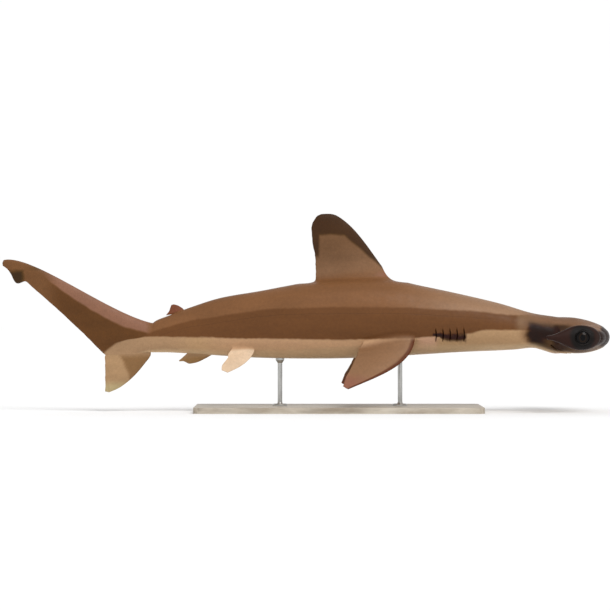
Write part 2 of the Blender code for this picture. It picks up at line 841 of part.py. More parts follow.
def cross_cut(x):
    corners = [(x, -0.2, 0.05), (x, 0.2, 0.05), (x, 0.2, 0.48), (x, -0.2, 0.48)]
    return slab(corners, (1, 0, 0))


def hammer_cut(side):
    y = side * HAMMER_CUT_Y
    rear = SNOUT_X - NECK_START - 0.016
    corners = [(rear, y, 0.1), (SNOUT_X + 0.03, y, 0.1), (SNOUT_X + 0.03, y, 0.35), (rear, y, 0.35)]
    return slab(corners, (0, 1, 0))


def fin_root_cut(side, base, levels, offset, half_height, front_more, rear_more):
    """Flat cut across the root of a paired fin, just clear of the flank."""
    ends = []
    for x, level in zip(base, levels):
        out, _ = point_on_section(trunk_section(x), angle_at_level(x, level))
        ends.append(Vector((x, side * out, level)))
    away = Vector((0, side * 0.72, -0.70))
    along = (ends[1] - ends[0]).normalized()
    across = along.cross(away).normalized()
    first = ends[0] - along * front_more + away * offset
    last = ends[1] + along * rear_more + away * offset
    lift = across * half_height
    return slab([first - lift, last - lift, last + lift, first + lift], along.cross(across))


def back_ribbon(first, last, rise, steps):
    line = []
    for x in spaced(first, last, steps):
        line.append((x, value_at(BACK_LINE, x) + rise))
    return ribbon(line, 0.03)


def belly_ribbon(first, last, drop, steps):
    line = []
    for x in spaced(first, last, steps):
        line.append((x, value_at(BELLY_LINE, x) - drop))
    return ribbon(line, 0.03)


def gill_slit(surface, side, x):
    """Curved thin blade that cuts one gill slit into the flank."""
    bm = bmesh.new()
    rings = []
    steps = 4
    for step in range(steps + 1):
        t = 2 * step / steps - 1
        height = SLIT_LEVEL + t * SLIT_HALF_HEIGHT
        bow = 0.0022 * (1 - t * t)
        start = Vector((x - 0.0016 + bow, side * 0.2, height))
        hit = surface.ray_cast(start, Vector((0, -side, 0)))[0]
        deep = SLIT_DEPTH * (1 - 0.65 * t * t)
        ring = []
        for shift, out in ((0.5, 0.004), (-0.5, 0.004), (-0.5, -deep), (0.5, -deep)):
            lean = 0.0018 * out / SLIT_DEPTH
            place = Vector((hit.x + shift * SLIT_WIDTH - lean, hit.y + side * out, height))
            ring.append(bm.verts.new(place))
        rings.append(ring)
    for first, second in zip(rings, rings[1:]):
        for k in range(4):
            n = (k + 1) % 4
            bm.faces.new((first[k], first[n], second[n], second[k]))
    bm.faces.new(rings[0])
    bm.faces.new(rings[-1])
    bmesh.ops.recalc_face_normals(bm, faces=bm.faces[:])
    return new_object("cut", bm)


def mouth_line(surface, depth, steps):
    """Points along the arch of the mouth, at a depth inside the underside."""
    points = []
    for step in range(steps + 1):
        t = 2 * step / steps - 1
        y = MOUTH_HALF_WIDTH * math.sin(t * math.pi / 2)
        part = abs(y) / MOUTH_HALF_WIDTH
        behind = MOUTH_FRONT + (MOUTH_REAR - MOUTH_FRONT) * part**2.2
        start = Vector((SNOUT_X - behind, y, 0.05))
        hit = surface.ray_cast(start, Vector((0, 0, 1)))[0]
        points.append(hit + Vector((0, 0, depth)))
    return points


def mouth_bar(surface, depth, radius, steps):
    points = mouth_line(surface, depth, steps)
    radii = [radius * (0.55 + 0.45 * math.sin(math.pi * k / (len(points) - 1))) for k in range(len(points))]
    return tube(points, radii, 6)


def nostril_bar(side):
    """Groove along the front edge that widens at the nostril."""
    points, radii = [], []
    for y in spaced(GROOVE_INNER_Y, GROOVE_OUTER_Y, 9):
        place = hammer_point(y, 0.006, -0.35)
        points.append(Vector((place[0] + 0.0004, side * y, place[2] - GROOVE_DROP * 0.3)))
        swell = math.exp(-(((y - NOSTRIL_Y) / 0.008) ** 2))
        radii.append(mix(GROOVE_RADIUS, NOSTRIL_RADIUS, swell))
    return tube(points, radii, 5)


def eye_centre(side):
    deep = math.sqrt(EYE_RADIUS**2 - EYE_OPENING**2)
    return Vector((SNOUT_X - EYE_BEHIND_SNOUT, side * (EYE_FACE - deep), HEAD_LEVEL))


def ball(name, centre, radius, across, round_steps):
    bm = bmesh.new()
    bmesh.ops.create_uvsphere(bm, u_segments=across, v_segments=round_steps, radius=radius)
    turn = Matrix.Rotation(math.pi / 2, 4, "X")
    bmesh.ops.transform(bm, matrix=Matrix.Translation(centre) @ turn, verts=bm.verts[:])
    return new_object(name, bm)


def lid_ring(side):
    """Rim of the lids round the eye."""
    bm = bmesh.new()
    centre = eye_centre(side)
    sides, around = 6, 20
    rings = []
    for step in range(around):
        turn = 2 * math.pi * step / around
        ring = []
        for k in range(sides):
            roll = 2 * math.pi * k / sides
            reach = EYE_OPENING + 0.0012 + LID_RADIUS * math.cos(roll)
            out = EYE_FACE - 0.0008 + LID_RADIUS * math.sin(roll)
            x = centre.x + reach * math.cos(turn) * 1.06
            z = centre.z + reach * math.sin(turn) * 0.96
            ring.append(bm.verts.new((x, side * out, z)))
        rings.append(ring)
    for index in range(around):
        first, second = rings[index], rings[(index + 1) % around]
        for k in range(sides):
            n = (k + 1) % sides
            bm.faces.new((first[k], first[n], second[n], second[k]))
    bmesh.ops.recalc_face_normals(bm, faces=bm.faces[:])
    return new_object("lid", bm)


def combine(target, pieces, operation):
    """Apply one Boolean with many pieces and remove them."""
    group = bpy.data.collections.new(operation)
    bpy.context.scene.collection.children.link(group)
    for piece in pieces:
        group.objects.link(piece)
        piece.hide_render = True
        piece.display_type = "WIRE"
    change = target.modifiers.new(operation, "BOOLEAN")
    change.operation = operation
    change.operand_type = "COLLECTION"
    change.collection = group
    change.solver = "EXACT"
    bpy.context.view_layer.update()
    graph = bpy.context.evaluated_depsgraph_get()
    mesh = bpy.data.meshes.new_from_object(target.evaluated_get(graph))
    target.modifiers.clear()
    target.data = mesh
    for piece in pieces:
        bpy.data.objects.remove(piece)
    bpy.data.collections.remove(group)


def islands(mesh):
    """Separate closed surfaces of a mesh, each as a set of face numbers."""
    bm = bmesh.new()
    bm.from_mesh(mesh)
    bm.faces.ensure_lookup_table()
    seen = set()
    groups = []
    for seed in bm.faces:
        if seed.index in seen:
            continue
        group, waiting = [], [seed]
        seen.add(seed.index)
        while waiting:
            face = waiting.pop()
            group.append(face.index)
            for edge in face.edges:
                for other in edge.link_faces:
                    if other.index not in seen:
                        seen.add(other.index)
                        waiting.append(other)
        groups.append(group)
    bm.free()
    return groups


def piece_of(mesh, group, name):
    bm = bmesh.new()
    bm.from_mesh(mesh)
    keep = set(group)
    drop = [face for face in bm.faces if face.index not in keep]
    bmesh.ops.delete(bm, geom=drop, context="FACES")
    bmesh.ops.triangulate(bm, faces=bm.faces[:])
    return new_object(name, bm)


def piece_middle(mesh, group):
    total = Vector()
    area = 0.0
    for index in group:
        face = mesh.polygons[index]
        total += Vector(face.center) * face.area
        area += face.area
    return total / area, area


PIECE_PLACES = {
    "head": (0.66, 0.0, 0.235),
    "hammer_lobe_right": (0.82, -0.15, 0.225),
    "hammer_lobe_left": (0.82, 0.15, 0.225),
    "gill_region": (0.43, 0.0, 0.27),
    "torso": (0.07, 0.0, 0.27),
    "tail_stalk": (-0.35, 0.0, 0.235),
    "caudal_fin_upper": (-0.65, 0.0, 0.30),
    "caudal_fin_lower": (-0.55, 0.0, 0.14),
    "dorsal_fin_first": (0.13, 0.0, 0.47),
    "dorsal_fin_second": (-0.385, 0.0, 0.305),
    "anal_fin": (-0.33, 0.0, 0.158),
    "pectoral_fin_right": (0.22, -0.15, 0.14),
    "pectoral_fin_left": (0.22, 0.15, 0.14),
    "pelvic_fin_right": (-0.20, -0.08, 0.16),
    "pelvic_fin_left": (-0.20, 0.08, 0.16),
}


def part_body(body):
    """Name each loose piece of the cut body by where it lies."""
    mesh = body.data
    best = {}
    for group in islands(mesh):
        middle, area = piece_middle(mesh, group)
        name = min(PIECE_PLACES, key=lambda key: (Vector(PIECE_PLACES[key]) - middle).length)
        if name not in best or area > best[name][1]:
            best[name] = (group, area)
    pieces = {name: piece_of(mesh, group, name) for name, (group, _) in best.items()}
    bpy.data.objects.remove(body)
    return pieces


def stand_base():
    """Flat plate with rounded corners and a small bevel."""
    bm = bmesh.new()
    centre = Vector((BASE_CENTRE_X, 0, BASE_THICKNESS / 2))
    size = Matrix.Diagonal((BASE_LENGTH, BASE_WIDTH, BASE_THICKNESS, 1))
    bmesh.ops.create_cube(bm, size=1, matrix=Matrix.Translation(centre) @ size)
    upright = [edge for edge in bm.edges if abs(edge.verts[0].co.z - edge.verts[1].co.z) > 0.001]
    bmesh.ops.bevel(bm, geom=upright, offset=BASE_CORNER, segments=6, profile=0.5, affect="EDGES")
    rim = [
        edge
        for edge in bm.edges
        if min(corner.co.z for corner in edge.verts) > BASE_THICKNESS - 0.0001
    ]
    bmesh.ops.bevel(bm, geom=rim, offset=BASE_BEVEL, segments=2, profile=0.5, affect="EDGES")
    bmesh.ops.triangulate(bm, faces=bm.faces[:])
    return new_object("stand_base", bm)


def stand_rod(name, x, body_copy):
    """Turned rod with a foot and a pad that is cut to the belly."""
    floor = BASE_THICKNESS + 2 * GAP
    top = value_at(BELLY_LINE, x) + 0.004
    profile = (
        (ROD_FOOT_RADIUS, floor),
        (ROD_FOOT_RADIUS, floor + ROD_FOOT_HEIGHT * 0.6),
        (ROD_FOOT_RADIUS - 0.002, floor + ROD_FOOT_HEIGHT),
        (ROD_RADIUS + 0.002, floor + ROD_FOOT_HEIGHT + 0.001),
        (ROD_RADIUS, floor + ROD_FOOT_HEIGHT + 0.004),
        (ROD_RADIUS, top - 0.004 - ROD_PAD_HEIGHT - 0.004),
        (ROD_PAD_RADIUS, top - 0.004 - ROD_PAD_HEIGHT * 0.5),
        (ROD_PAD_RADIUS, top),
    )
    bm = bmesh.new()
    rings = []
    for radius, height in profile:
        ring = []
        for k in range(ROD_SIDES):
            turn = 2 * math.pi * k / ROD_SIDES
            ring.append(bm.verts.new((x + radius * math.cos(turn), radius * math.sin(turn), height)))
        rings.append(ring)
    for first, second in zip(rings, rings[1:]):
        for k in range(ROD_SIDES):
            n = (k + 1) % ROD_SIDES
            bm.faces.new((first[k], first[n], second[n], second[k]))
    bm.faces.new(rings[0])
    bm.faces.new(rings[-1])
    bmesh.ops.recalc_face_normals(bm, faces=bm.faces[:])
    rod = new_object(name, bm)
    combine(rod, [body_copy], "DIFFERENCE")
    rod.data.transform(Matrix.Translation((0, 0, -GAP)))
    return rod


def material(name, colour, roughness, metallic=0.0):
    look = bpy.data.materials.new(name)
    look.use_nodes = True
    shader = look.node_tree.nodes["Principled BSDF"]
    shader.inputs["Base Color"].default_value = (*colour, 1.0)
    shader.inputs["Roughness"].default_value = roughness
    shader.inputs["Metallic"].default_value = metallic
    return look


def dress(obj, look, smooth=True):
    obj.data.materials.clear()
    obj.data.materials.append(look)
    if smooth:
        obj.data.shade_smooth()
        obj.data.set_sharp_from_angle(angle=math.radians(40))


def copy_of(obj):
    twin = bpy.data.objects.new("copy", obj.data.copy())
    bpy.context.scene.collection.objects.link(twin)
    return twin


def flesh_cuts():
    cuts = [cross_cut(x) for x in (HEAD_CUT_X, GILL_CUT_X, TORSO_CUT_X, TAIL_CUT_X)]
    cuts += [hammer_cut(-1), hammer_cut(1)]
    for side in (-1, 1):
        cuts.append(fin_root_cut(side, PECTORAL_BASE, PECTORAL_BASE_LEVEL, 0.0085, 0.030, 0.012, 0.030))
        cuts.append(fin_root_cut(side, PELVIC_BASE, PELVIC_BASE_LEVEL, 0.0045, 0.016, 0.006, 0.020))
    cuts.append(back_ribbon(DORSAL_BASE[0] + 0.012, -0.014, 0.0022, 16))
    cuts.append(back_ribbon(SECOND_BASE[0] + 0.006, -0.418, 0.0012, 6))
    cuts.append(belly_ribbon(ANAL_BASE[0] + 0.008, -0.386, 0.0014, 8))
    cuts.append(ribbon(((-0.445, 0.1758), (-0.460, 0.1750), (-0.605, 0.1660)), 0.03))
    return cuts


def main():
    for old in list(bpy.data.objects):
        bpy.data.objects.remove(old)

    body = whole_body()
    bm = bmesh.new()
    bm.from_mesh(body.data)
    surface = BVHTree.FromBMesh(bm)
    bm.free()

    lips = mouth_bar(surface, LIP_RADIUS - LIP_RISE, LIP_RADIUS, 15)
    combine(body, [lips, lid_ring(-1), lid_ring(1)], "UNION")

    rods = {
        "stand_rod_front": stand_rod("stand_rod_front", ROD_FRONT_X, copy_of(body)),
        "stand_rod_rear": stand_rod("stand_rod_rear", ROD_REAR_X, copy_of(body)),
    }

    cuts = flesh_cuts()
    cuts.append(mouth_bar(surface, -LIP_RISE + 0.0004, MOUTH_SLIT_RADIUS, 17))
    for side in (-1, 1):
        cuts += [gill_slit(surface, side, x) for x in slit_places()]
        cuts.append(nostril_bar(side))
        cuts.append(ball("socket", eye_centre(side), EYE_RADIUS + GAP, 20, 12))
    combine(body, cuts, "DIFFERENCE")
    pieces = part_body(body)

    skin = material("skin", SKIN_BROWN, 0.5)
    head_skin = material("head_skin", HEAD_BROWN, 0.5)
    fin_skin = material("fin_skin", FIN_BROWN, 0.5)
    tail_skin = material("tail_skin", TAIL_BROWN, 0.5)
    pale_skin = material("pale_skin", PALE_FIN, 0.5)
    eye_look = material("eye", EYE_BLACK, 0.1)
    base_look = material("stand_base", BASE_GREY, 0.5)
    rod_look = material("stand_rod", STEEL, 0.3, 1.0)

    looks = {
        "head": head_skin,
        "hammer_lobe_left": head_skin,
        "hammer_lobe_right": head_skin,
        "dorsal_fin_first": fin_skin,
        "dorsal_fin_second": fin_skin,
        "anal_fin": fin_skin,
        "pectoral_fin_left": fin_skin,
        "pectoral_fin_right": fin_skin,
        "pelvic_fin_left": pale_skin,
        "pelvic_fin_right": pale_skin,
        "caudal_fin_upper": tail_skin,
        "caudal_fin_lower": tail_skin,
    }
    for name, piece in pieces.items():
        dress(piece, looks.get(name, skin))
    for side, word in ((-1, "right"), (1, "left")):
        dress(ball("eye_" + word, eye_centre(side), EYE_RADIUS, 20, 12), eye_look)
    for rod in rods.values():
        dress(rod, rod_look)
    dress(stand_base(), base_look)


main()
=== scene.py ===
"""Looks of the life-size scalloped hammerhead shark on its display stand.

One smooth skin stands for all the pieces of flesh, with its eyes, the stand's finishes,
the floor, the lights and the camera. Metres, +Z up, the snout along +X.
"""

import functools
import math
from bisect import bisect_left
from collections import namedtuple

import bmesh
import bpy
import numpy as np
from mathutils import Matrix, Vector, noise


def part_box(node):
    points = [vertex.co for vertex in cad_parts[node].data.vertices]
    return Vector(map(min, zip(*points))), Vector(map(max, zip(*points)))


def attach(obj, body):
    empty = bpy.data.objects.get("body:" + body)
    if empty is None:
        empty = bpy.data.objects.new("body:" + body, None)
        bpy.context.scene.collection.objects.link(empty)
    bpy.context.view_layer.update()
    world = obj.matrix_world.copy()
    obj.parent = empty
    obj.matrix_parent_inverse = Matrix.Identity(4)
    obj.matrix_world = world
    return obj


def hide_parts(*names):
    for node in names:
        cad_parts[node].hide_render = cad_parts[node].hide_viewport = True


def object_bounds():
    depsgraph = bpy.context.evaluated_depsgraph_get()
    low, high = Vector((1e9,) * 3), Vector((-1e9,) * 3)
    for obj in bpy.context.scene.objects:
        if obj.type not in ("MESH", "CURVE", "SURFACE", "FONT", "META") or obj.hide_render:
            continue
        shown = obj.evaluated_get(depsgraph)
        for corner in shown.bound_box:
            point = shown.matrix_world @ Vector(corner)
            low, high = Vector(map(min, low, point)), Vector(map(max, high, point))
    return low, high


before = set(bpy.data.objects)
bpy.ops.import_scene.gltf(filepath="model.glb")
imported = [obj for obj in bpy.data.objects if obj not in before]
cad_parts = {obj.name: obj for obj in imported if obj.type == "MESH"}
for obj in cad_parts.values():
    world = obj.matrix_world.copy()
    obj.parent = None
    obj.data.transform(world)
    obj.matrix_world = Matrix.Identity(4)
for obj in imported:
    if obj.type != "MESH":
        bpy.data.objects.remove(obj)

CAD_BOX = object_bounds()

# Whole animal: the snout front and the level of the head's middle above the floor.
SNOUT_X = 0.908
HEAD_LEVEL = 0.2245

# Side outline of the trunk: place along the length, height above the floor.
BACK_LINE = (
    (-0.465, 0.2675), (-0.420, 0.284), (-0.345, 0.3125), (-0.255, 0.341), (-0.135, 0.362),
    (0.009, 0.388), (0.135, 0.399), (0.264, 0.395), (0.345, 0.3785), (0.465, 0.353),
    (0.585, 0.3245), (0.681, 0.296), (0.758, 0.284),
)
BELLY_LINE = (
    (-0.465, 0.178), (-0.399, 0.1775), (-0.279, 0.170), (-0.135, 0.1618), (-0.015, 0.1595),
    (0.100, 0.160), (0.225, 0.164), (0.345, 0.1715), (0.465, 0.179), (0.585, 0.184),
    (0.633, 0.187), (0.678, 0.1915), (0.703, 0.1885), (0.728, 0.1795), (0.758, 0.1770),
)
HALF_WIDTH = (
    (-0.465, 0.026), (-0.420, 0.031), (-0.345, 0.040), (-0.255, 0.053), (-0.135, 0.073),
    (0.000, 0.089), (0.135, 0.096), (0.225, 0.097), (0.345, 0.094), (0.465, 0.085),
    (0.540, 0.078), (0.620, 0.070), (0.720, 0.064), (0.758, 0.063),
)
WIDEST_LEVEL = 0.46
SECTION_POWER = 2.15

# Grain of the cage: cells from the back to the shoulder line, down the side, and to the belly.
TOP_CELLS = 5
SIDE_CELLS = 8
RING_CELLS = 2 * TOP_CELLS + SIDE_CELLS
BAND = TOP_CELLS + SIDE_CELLS
BAND_CELLS = 2
BAND_END = BAND + BAND_CELLS
# Points nearer to each other than the first are merged; nearer the middle plane than the second,
# they lie on it.
MERGE_DISTANCE = 1e-5
MIDLINE = 1e-7
# Smoothing: levels, and the rounds in which the cage is moved until the surface fits its points.
SMOOTH_LEVELS = 2
FIT_ROUNDS = 4
FIT_SHARE = 0.9
# The shoulder line's angle over the tail end and over the neck, and where it changes.
SHOULDER_ANGLES = (27, 35)
SHOULDER_TURN = (0.60, 0.745)
# Angles of the rows round the paired fins' gap, behind the fins and ahead of them.
REAR_BAND = ((-0.465, -26, -52), (-0.290, -28, -52))
FRONT_BAND = ((0.395, -28, -48), (0.600, -28, -50), (0.745, -35, -58))
# Sections of the trunk between the neck, the slits, the fins and the tail.
NECK_SECTION = 0.742
SLIT_SECTIONS = (0.505, 0.491, 0.374)
ANAL_TIP_SECTION = -0.3590
STALK_SECTION = -0.4500

# Evening out of the neck's corners, of the first dorsal fin's foot and of the other fins' feet.
CORNER_ROUNDS = 40
CORNER_OUT = 0.003
CORNER_LEVELS = (0.195, 0.253)
CORNER_REACH = 0.026
DORSAL_ROUNDS = 110
DORSAL_FOOT_SPAN = (0.272, 0.020)
DORSAL_FOOT_REACH = 0.038
FOOT_ROUNDS = 14
FOOT_WEIGHT = 5
# It works in full within about the first quarter of its reach, and fades from there.
NEAR_SHARE = 1.3

# Passes that refine the skin near its fine forms: reach, and cuts across each face.
MOUTH_PASSES = ((0.016, 3), (0.006, 1))
GILL_PASSES = ((0.021, 1),)
NOSTRIL_PASSES = ((0.0085, 1), (0.0050, 1))
VENT_PASSES = ((0.013, 2),)

# Hammer, in distance behind the snout front and out from the midline.
HAMMER_ROOT = 0.063
HAMMER_HALF_SPAN = 0.2395
HAMMER_END_BULGE = 0.0065
NECK_START = 0.150
FRONT_SWEEP = 0.052
SWEEP_START = 0.060
SWEEP_END = 0.235
# Scallops of the front edge: distance out, depth and width of each.
FRONT_NOTCHES = ((0.000, 0.011, 0.024), (0.131, 0.007, 0.016), (0.203, 0.009, 0.010))
# Rounded outer corners: how deep, where they start, how wide.
FRONT_CORNER = (0.010, 0.226, 0.0135)
REAR_CORNER = (0.006, 0.230, 0.0095)
REAR_SWEEP = 0.056
REAR_SWEEP_POWER = 1.5
HAMMER_HALF_THICKNESS = (
    (0.000, 0.0535), (0.030, 0.0520), (0.063, 0.044), (0.095, 0.036), (0.131, 0.0305),
    (0.166, 0.0300), (0.196, 0.0325), (0.216, 0.0365), (0.228, 0.0360), (0.235, 0.0325),
    (0.2395, 0.0270),
)
REAR_EDGE_HALF = (
    (0.000, 0.0535), (0.026, 0.0505), (0.040, 0.045), (0.052, 0.038), (0.063, 0.029),
    (0.076, 0.018), (0.092, 0.0115), (0.128, 0.008), (0.166, 0.007), (0.2395, 0.006),
)
# The section changes from the middle outwards: chord of the thickest place, and nose curve.
THICKEST_CHORD = (0.70, 0.38)
NOSE_POWER = (1.6, 2.2)
NOSE_CHANGE = 0.10
CENTRE_LIFT = 0.006
CENTRE_LIFT_WIDTH = 0.055
HAMMER_COLUMNS = (0.076, 0.092, 0.110, 0.128, 0.145, 0.162, 0.178, 0.192, 0.204, 0.215, 0.2245, 0.232)
CHORDS = (1.0, 0.88, 0.76, 0.64, 0.52, 0.42, 0.345, 0.27, 0.195, 0.12, 0.045)
REAR_ROUND = 0.045

# Eye on the end of the hammer: the first and last row and column of the end face that it opens.
EYE_BLOCK = (5, 9, 2, 6)
EYE_FACE = 0.2450
EYE_STRETCH = (1.05, 0.985)
# Loops of the lids: reach from the eye's middle, and how far out past the eye's face.
LID_LOOPS = ((0.0212, -0.0012), (0.0200, 0.0010), (0.0188, 0.0004))
RIM_REACH = 0.0230
RIM_START_ANGLE = 135
SOCKET_TURNS = (52, 75, 100, 125, 150)
SOCKET_GAP = 0.0004

# Gill slits, counted from the head back.
FIRST_SLIT_X = 0.471
SLIT_SPACING = 0.021
SLIT_COUNT = 5
SLIT_LEVEL = 0.2290
SLIT_HALF_HEIGHT = 0.0205
SLIT_BOW = 0.0045
GILL_LINE_DROP = 0.003
# Flank angles where the slits' folds fade out: none past the first, full this much before it.
FLANK_END = 75
FLANK_FADE = 30
# Sections across one slit: place behind its edge past the slit's ends, the same within the slit,
# and height over the flank there.
SLIT_PROFILE = (
    (-0.0110, -0.0110, 0.0002),
    (-0.0072, -0.0058, 0.0011),
    (-0.0038, -0.0020, 0.0020),
    (-0.0014, -0.0001, 0.0012),
    (-0.0002, -0.0003, -0.0026),
    (0.0007, 0.0006, -0.0062),
    (0.0018, 0.0018, -0.0052),
    (0.0033, 0.0029, -0.0014),
    (0.0055, 0.0055, -0.0005),
)

# Mouth on the underside, an arch open to the rear.
MOUTH_FRONT = 0.118
MOUTH_REAR = 0.176
MOUTH_HALF_WIDTH = 0.053
MOUTH_POWER = 2.2
MOUTH_DEPTH = 0.0066
MOUTH_GAP = 0.0017
MOUTH_LEVEL_DROP = 0.012
MOUTH_SPAN = (0.70, 0.82)
MOUTH_MARGIN = 0.05
# Lips: height, distance from the gap (ahead of it or behind it) and width.
UPPER_LIP = (0.0016, 0.0056, 0.0030)
LOWER_LIP = (0.0024, -0.0058, 0.0036)
# How far in from the mouth's corners the gap and the lips reach their full size.
GAP_FADE = 0.10
LIP_FADE = 0.30
JAW_SWELL = 0.0025
JAW_PLACE = (0.752, 0.026, 0.034)
JAW_GAP = (0.002, 0.010)

# Vent: its middle and half length, its lips and its slit as height, distance and width.
VENT_PLACE = (-0.192, 0.012)
VENT_LIPS = (0.0012, 0.0040, 0.0022)
VENT_SLIT = (-0.0030, 0.0, 0.0014)
VENT_FADE = 0.35

# Nostril and the groove that runs inwards from it along the front edge.
NOSTRIL_Y = 0.2035
NOSTRIL_HALF_LENGTH = 0.0085
NOSTRIL_HALF_WIDTH = 0.0030
NOSTRIL_DEPTH = 0.0065
NOSTRIL_SLOPE = 0.0016
NOSTRIL_RIM = (0.0009, 0.0013)
NOSTRIL_RIM_REACH = 1.5
NOSTRIL_AREA = (0.82, 0.115, 0.225)
GROOVE_INNER_Y = 0.128
GROOVE_OUTER_Y = 0.214
GROOVE_HALF_WIDTH = 0.0017
GROOVE_DEPTH = 0.0024
GROOVE_FADES = (0.12, 0.06)
GROOVE_CHORD = 0.006
GROOVE_LIFT = -0.35

# Fins in side view: each edge is a cubic through its first and last points. A fin has the ends
# of its base, both edges, its half thickness at root and tip, and its rows of points.
Fin = namedtuple("Fin", "name base front rear half rows")
DORSAL_FIN = Fin(
    "dorsal",
    (0.2655, 0.030),
    ((0.2655, 0.395), (0.216, 0.437), (0.132, 0.620), (0.0465, 0.592)),
    ((0.0085, 0.3915), (0.070, 0.425), (-0.015, 0.539), (0.0355, 0.587)),
    (0.0105, 0.0024),
    9,
)
SECOND_FIN = Fin(
    "second",
    (-0.3615, -0.400),
    ((-0.3615, 0.3065), (-0.372, 0.314), (-0.384, 0.322), (-0.3945, 0.322)),
    ((-0.417, 0.289), (-0.4035, 0.299), (-0.408, 0.311), (-0.402, 0.320)),
    (0.0040, 0.0014),
    4,
)
ANAL_FIN = Fin(
    "anal",
    (-0.279, -0.354),
    ((-0.279, 0.170), (-0.304, 0.157), (-0.326, 0.1435), (-0.346, 0.1438)),
    ((-0.3785, 0.1535), (-0.368, 0.1525), (-0.358, 0.149), (-0.350, 0.1445)),
    (0.0045, 0.0014),
    4,
)
LOWER_LOBE = Fin(
    "lower",
    None,
    ((-0.457, 0.1765), (-0.486, 0.135), (-0.529, 0.076), (-0.588, 0.058)),
    ((-0.601, 0.171), (-0.599, 0.135), (-0.599, 0.098), (-0.600, 0.0605)),
    (0.0070, 0.0018),
    8,
)
# A paired fin also has the levels of its base, its reach to the side and its root's half height.
PairedFin = namedtuple("PairedFin", (*Fin._fields, "levels", "reach", "opening"))
PECTORAL_FIN = PairedFin(
    "pectoral",
    (0.327, 0.174),
    ((0.327, 0.221), (0.318, 0.143), (0.225, 0.113), (0.129, 0.074)),
    ((0.1605, 0.191), (0.156, 0.167), (0.129, 0.131), (0.111, 0.083)),
    (0.0105, 0.0022),
    9,
    (0.221, 0.203),
    0.125,
    0.0155,
)
PELVIC_FIN = PairedFin(
    "pelvic",
    (-0.150, -0.216),
    ((-0.150, 0.185), (-0.165, 0.149), (-0.195, 0.134), (-0.228, 0.1205)),
    ((-0.228, 0.176), (-0.225, 0.155), (-0.252, 0.149), (-0.2475, 0.128)),
    (0.0050, 0.0014),
    5,
    (0.186, 0.188),
    0.050,
    0.0080,
)
FIN_PEAK = 0.32
THIN_EDGE_HALF = 0.0011
ROOT_SWELL = 1.15
ROOT_HALF = 0.0012
FIRST_ROW = 0.55
# Paired fins: least half height of the root, rows of points out from it, curve of the reach.
ROOT_OPENING = 0.006
OPENING_POWER = 0.75
PAIRED_ROWS = (0.045, 0.13, 0.24, 0.37, 0.51, 0.65, 0.79, 0.91, 1.0)
REACH_POWER = 0.95
TRAIL_DRIFT = 0.2
FIN_SPREAD = (-0.25, -0.72, -0.70)
CHORD_LIMITS = (0.012, 0.985)
TIP_BULGE = 0.0008
TIP_WAY = (-0.15, -0.70, -0.70)

# Tail: the front edge of its upper lobe, where the fork lies along it, and the rear edge.
LOWER_LOBE_BASE = ((-0.462, 0.178), (-0.601, 0.171))
UPPER_FRONT = ((-0.465, 0.2675), (-0.600, 0.302), (-0.820, 0.474), (-0.9035, 0.455))
UPPER_FORK_PART = 0.22
UPPER_REAR_PART = 0.79
UPPER_REAR_END = (-0.831, 0.3855)
UPPER_REAR_BOW = 0.004
UPPER_NOTCH_PART = 0.825
UPPER_NOTCH = (-0.843, 0.3905)
TERMINAL_EDGE = ((-0.858, 0.3845), (-0.879, 0.383), (-0.873, 0.419), (-0.9055, 0.437))
TERMINAL_PARTS = (0.855, 0.985)
TERMINAL_STEPS = (0.0, 0.25, 0.55, 0.85)
TAIL_TIP_BULGE = 0.0030
# Cells along the lower lobe's root and along the upper lobe's rear edge.
LOBE_ROOT_CELLS = 7
REAR_EDGE_CELLS = 9
# Where the tail's skin takes its fin's look, and where the lower lobe's root opens.
TAIL_FIN_START = (1 / 12, 1 / 6)
FLOOR_START = (1 / 16, 1 / 8)
# How fast the fin rays count up along the tail, and down across it.
TAIL_RAYS = (1.6, 0.1)
UPPER_HALF_WIDTH = (
    (0.00, 0.0260), (0.10, 0.0190), (0.22, 0.0140), (0.45, 0.0100), (0.70, 0.0065),
    (0.90, 0.0035), (1.00, 0.0015),
)
PIT_X = -0.4560
PIT_DEPTH = 0.0045
PIT_WIDTH = 0.006

# Fields carried by each point of the skin, besides its place: its share of each fin and of the
# hammer, its place from the fin's front to its rear and from its root to its tip, and its fin ray.
FIN_FIELDS = ("dorsal", "second", "anal", "pectoral", "pelvic", "lower", "upper")
FIELDS = (*FIN_FIELDS, "hammer", "chord", "rise", "ray")


def row_before(table, place):
    """Index of the last row of a table that lies before a place."""
    return bisect_left([row[0] for row in table], place) - 1


def value_at(table, place):
    """Smooth value between the rows of a table sorted by place."""
    if place <= table[0][0]:
        return table[0][1]
    if place >= table[-1][0]:
        return table[-1][1]
    index = row_before(table, place)
    x0, y0 = table[index]
    x1, y1 = table[index + 1]
    run = x1 - x0

    def rise(low, high):
        if low < 0 or high >= len(table):
            return y1 - y0
        return (table[high][1] - table[low][1]) / (table[high][0] - table[low][0]) * run

    m0 = rise(index - 1, index + 1)
    m1 = rise(index, index + 2)
    t = (place - x0) / run
    start = y0 * (2 * t**3 - 3 * t**2 + 1) + m0 * (t**3 - 2 * t**2 + t)
    return start + y1 * (3 * t**2 - 2 * t**3) + m1 * (t**3 - t**2)


def cubic(points, t):
    """Point on a cubic edge curve, as (x, z)."""
    weights = ((1 - t) ** 3, 3 * t * (1 - t) ** 2, 3 * t * t * (1 - t), t**3)
    return tuple(sum(w * p[axis] for w, p in zip(weights, points)) for axis in (0, 1))


def mix(a, b, t):
    return a + (b - a) * t


def mix_points(a, b, t):
    return tuple(mix(start, end, t) for start, end in zip(a, b))


def smooth_step(t):
    """Smooth rise from 0 to 1 of a number or an array."""
    t = np.clip(t, 0, 1)
    return t * t * (3 - 2 * t)


def bell(away, width):
    """Bell curve of a number or an array: 1 in its middle."""
    return np.exp(-((away / width) ** 2))


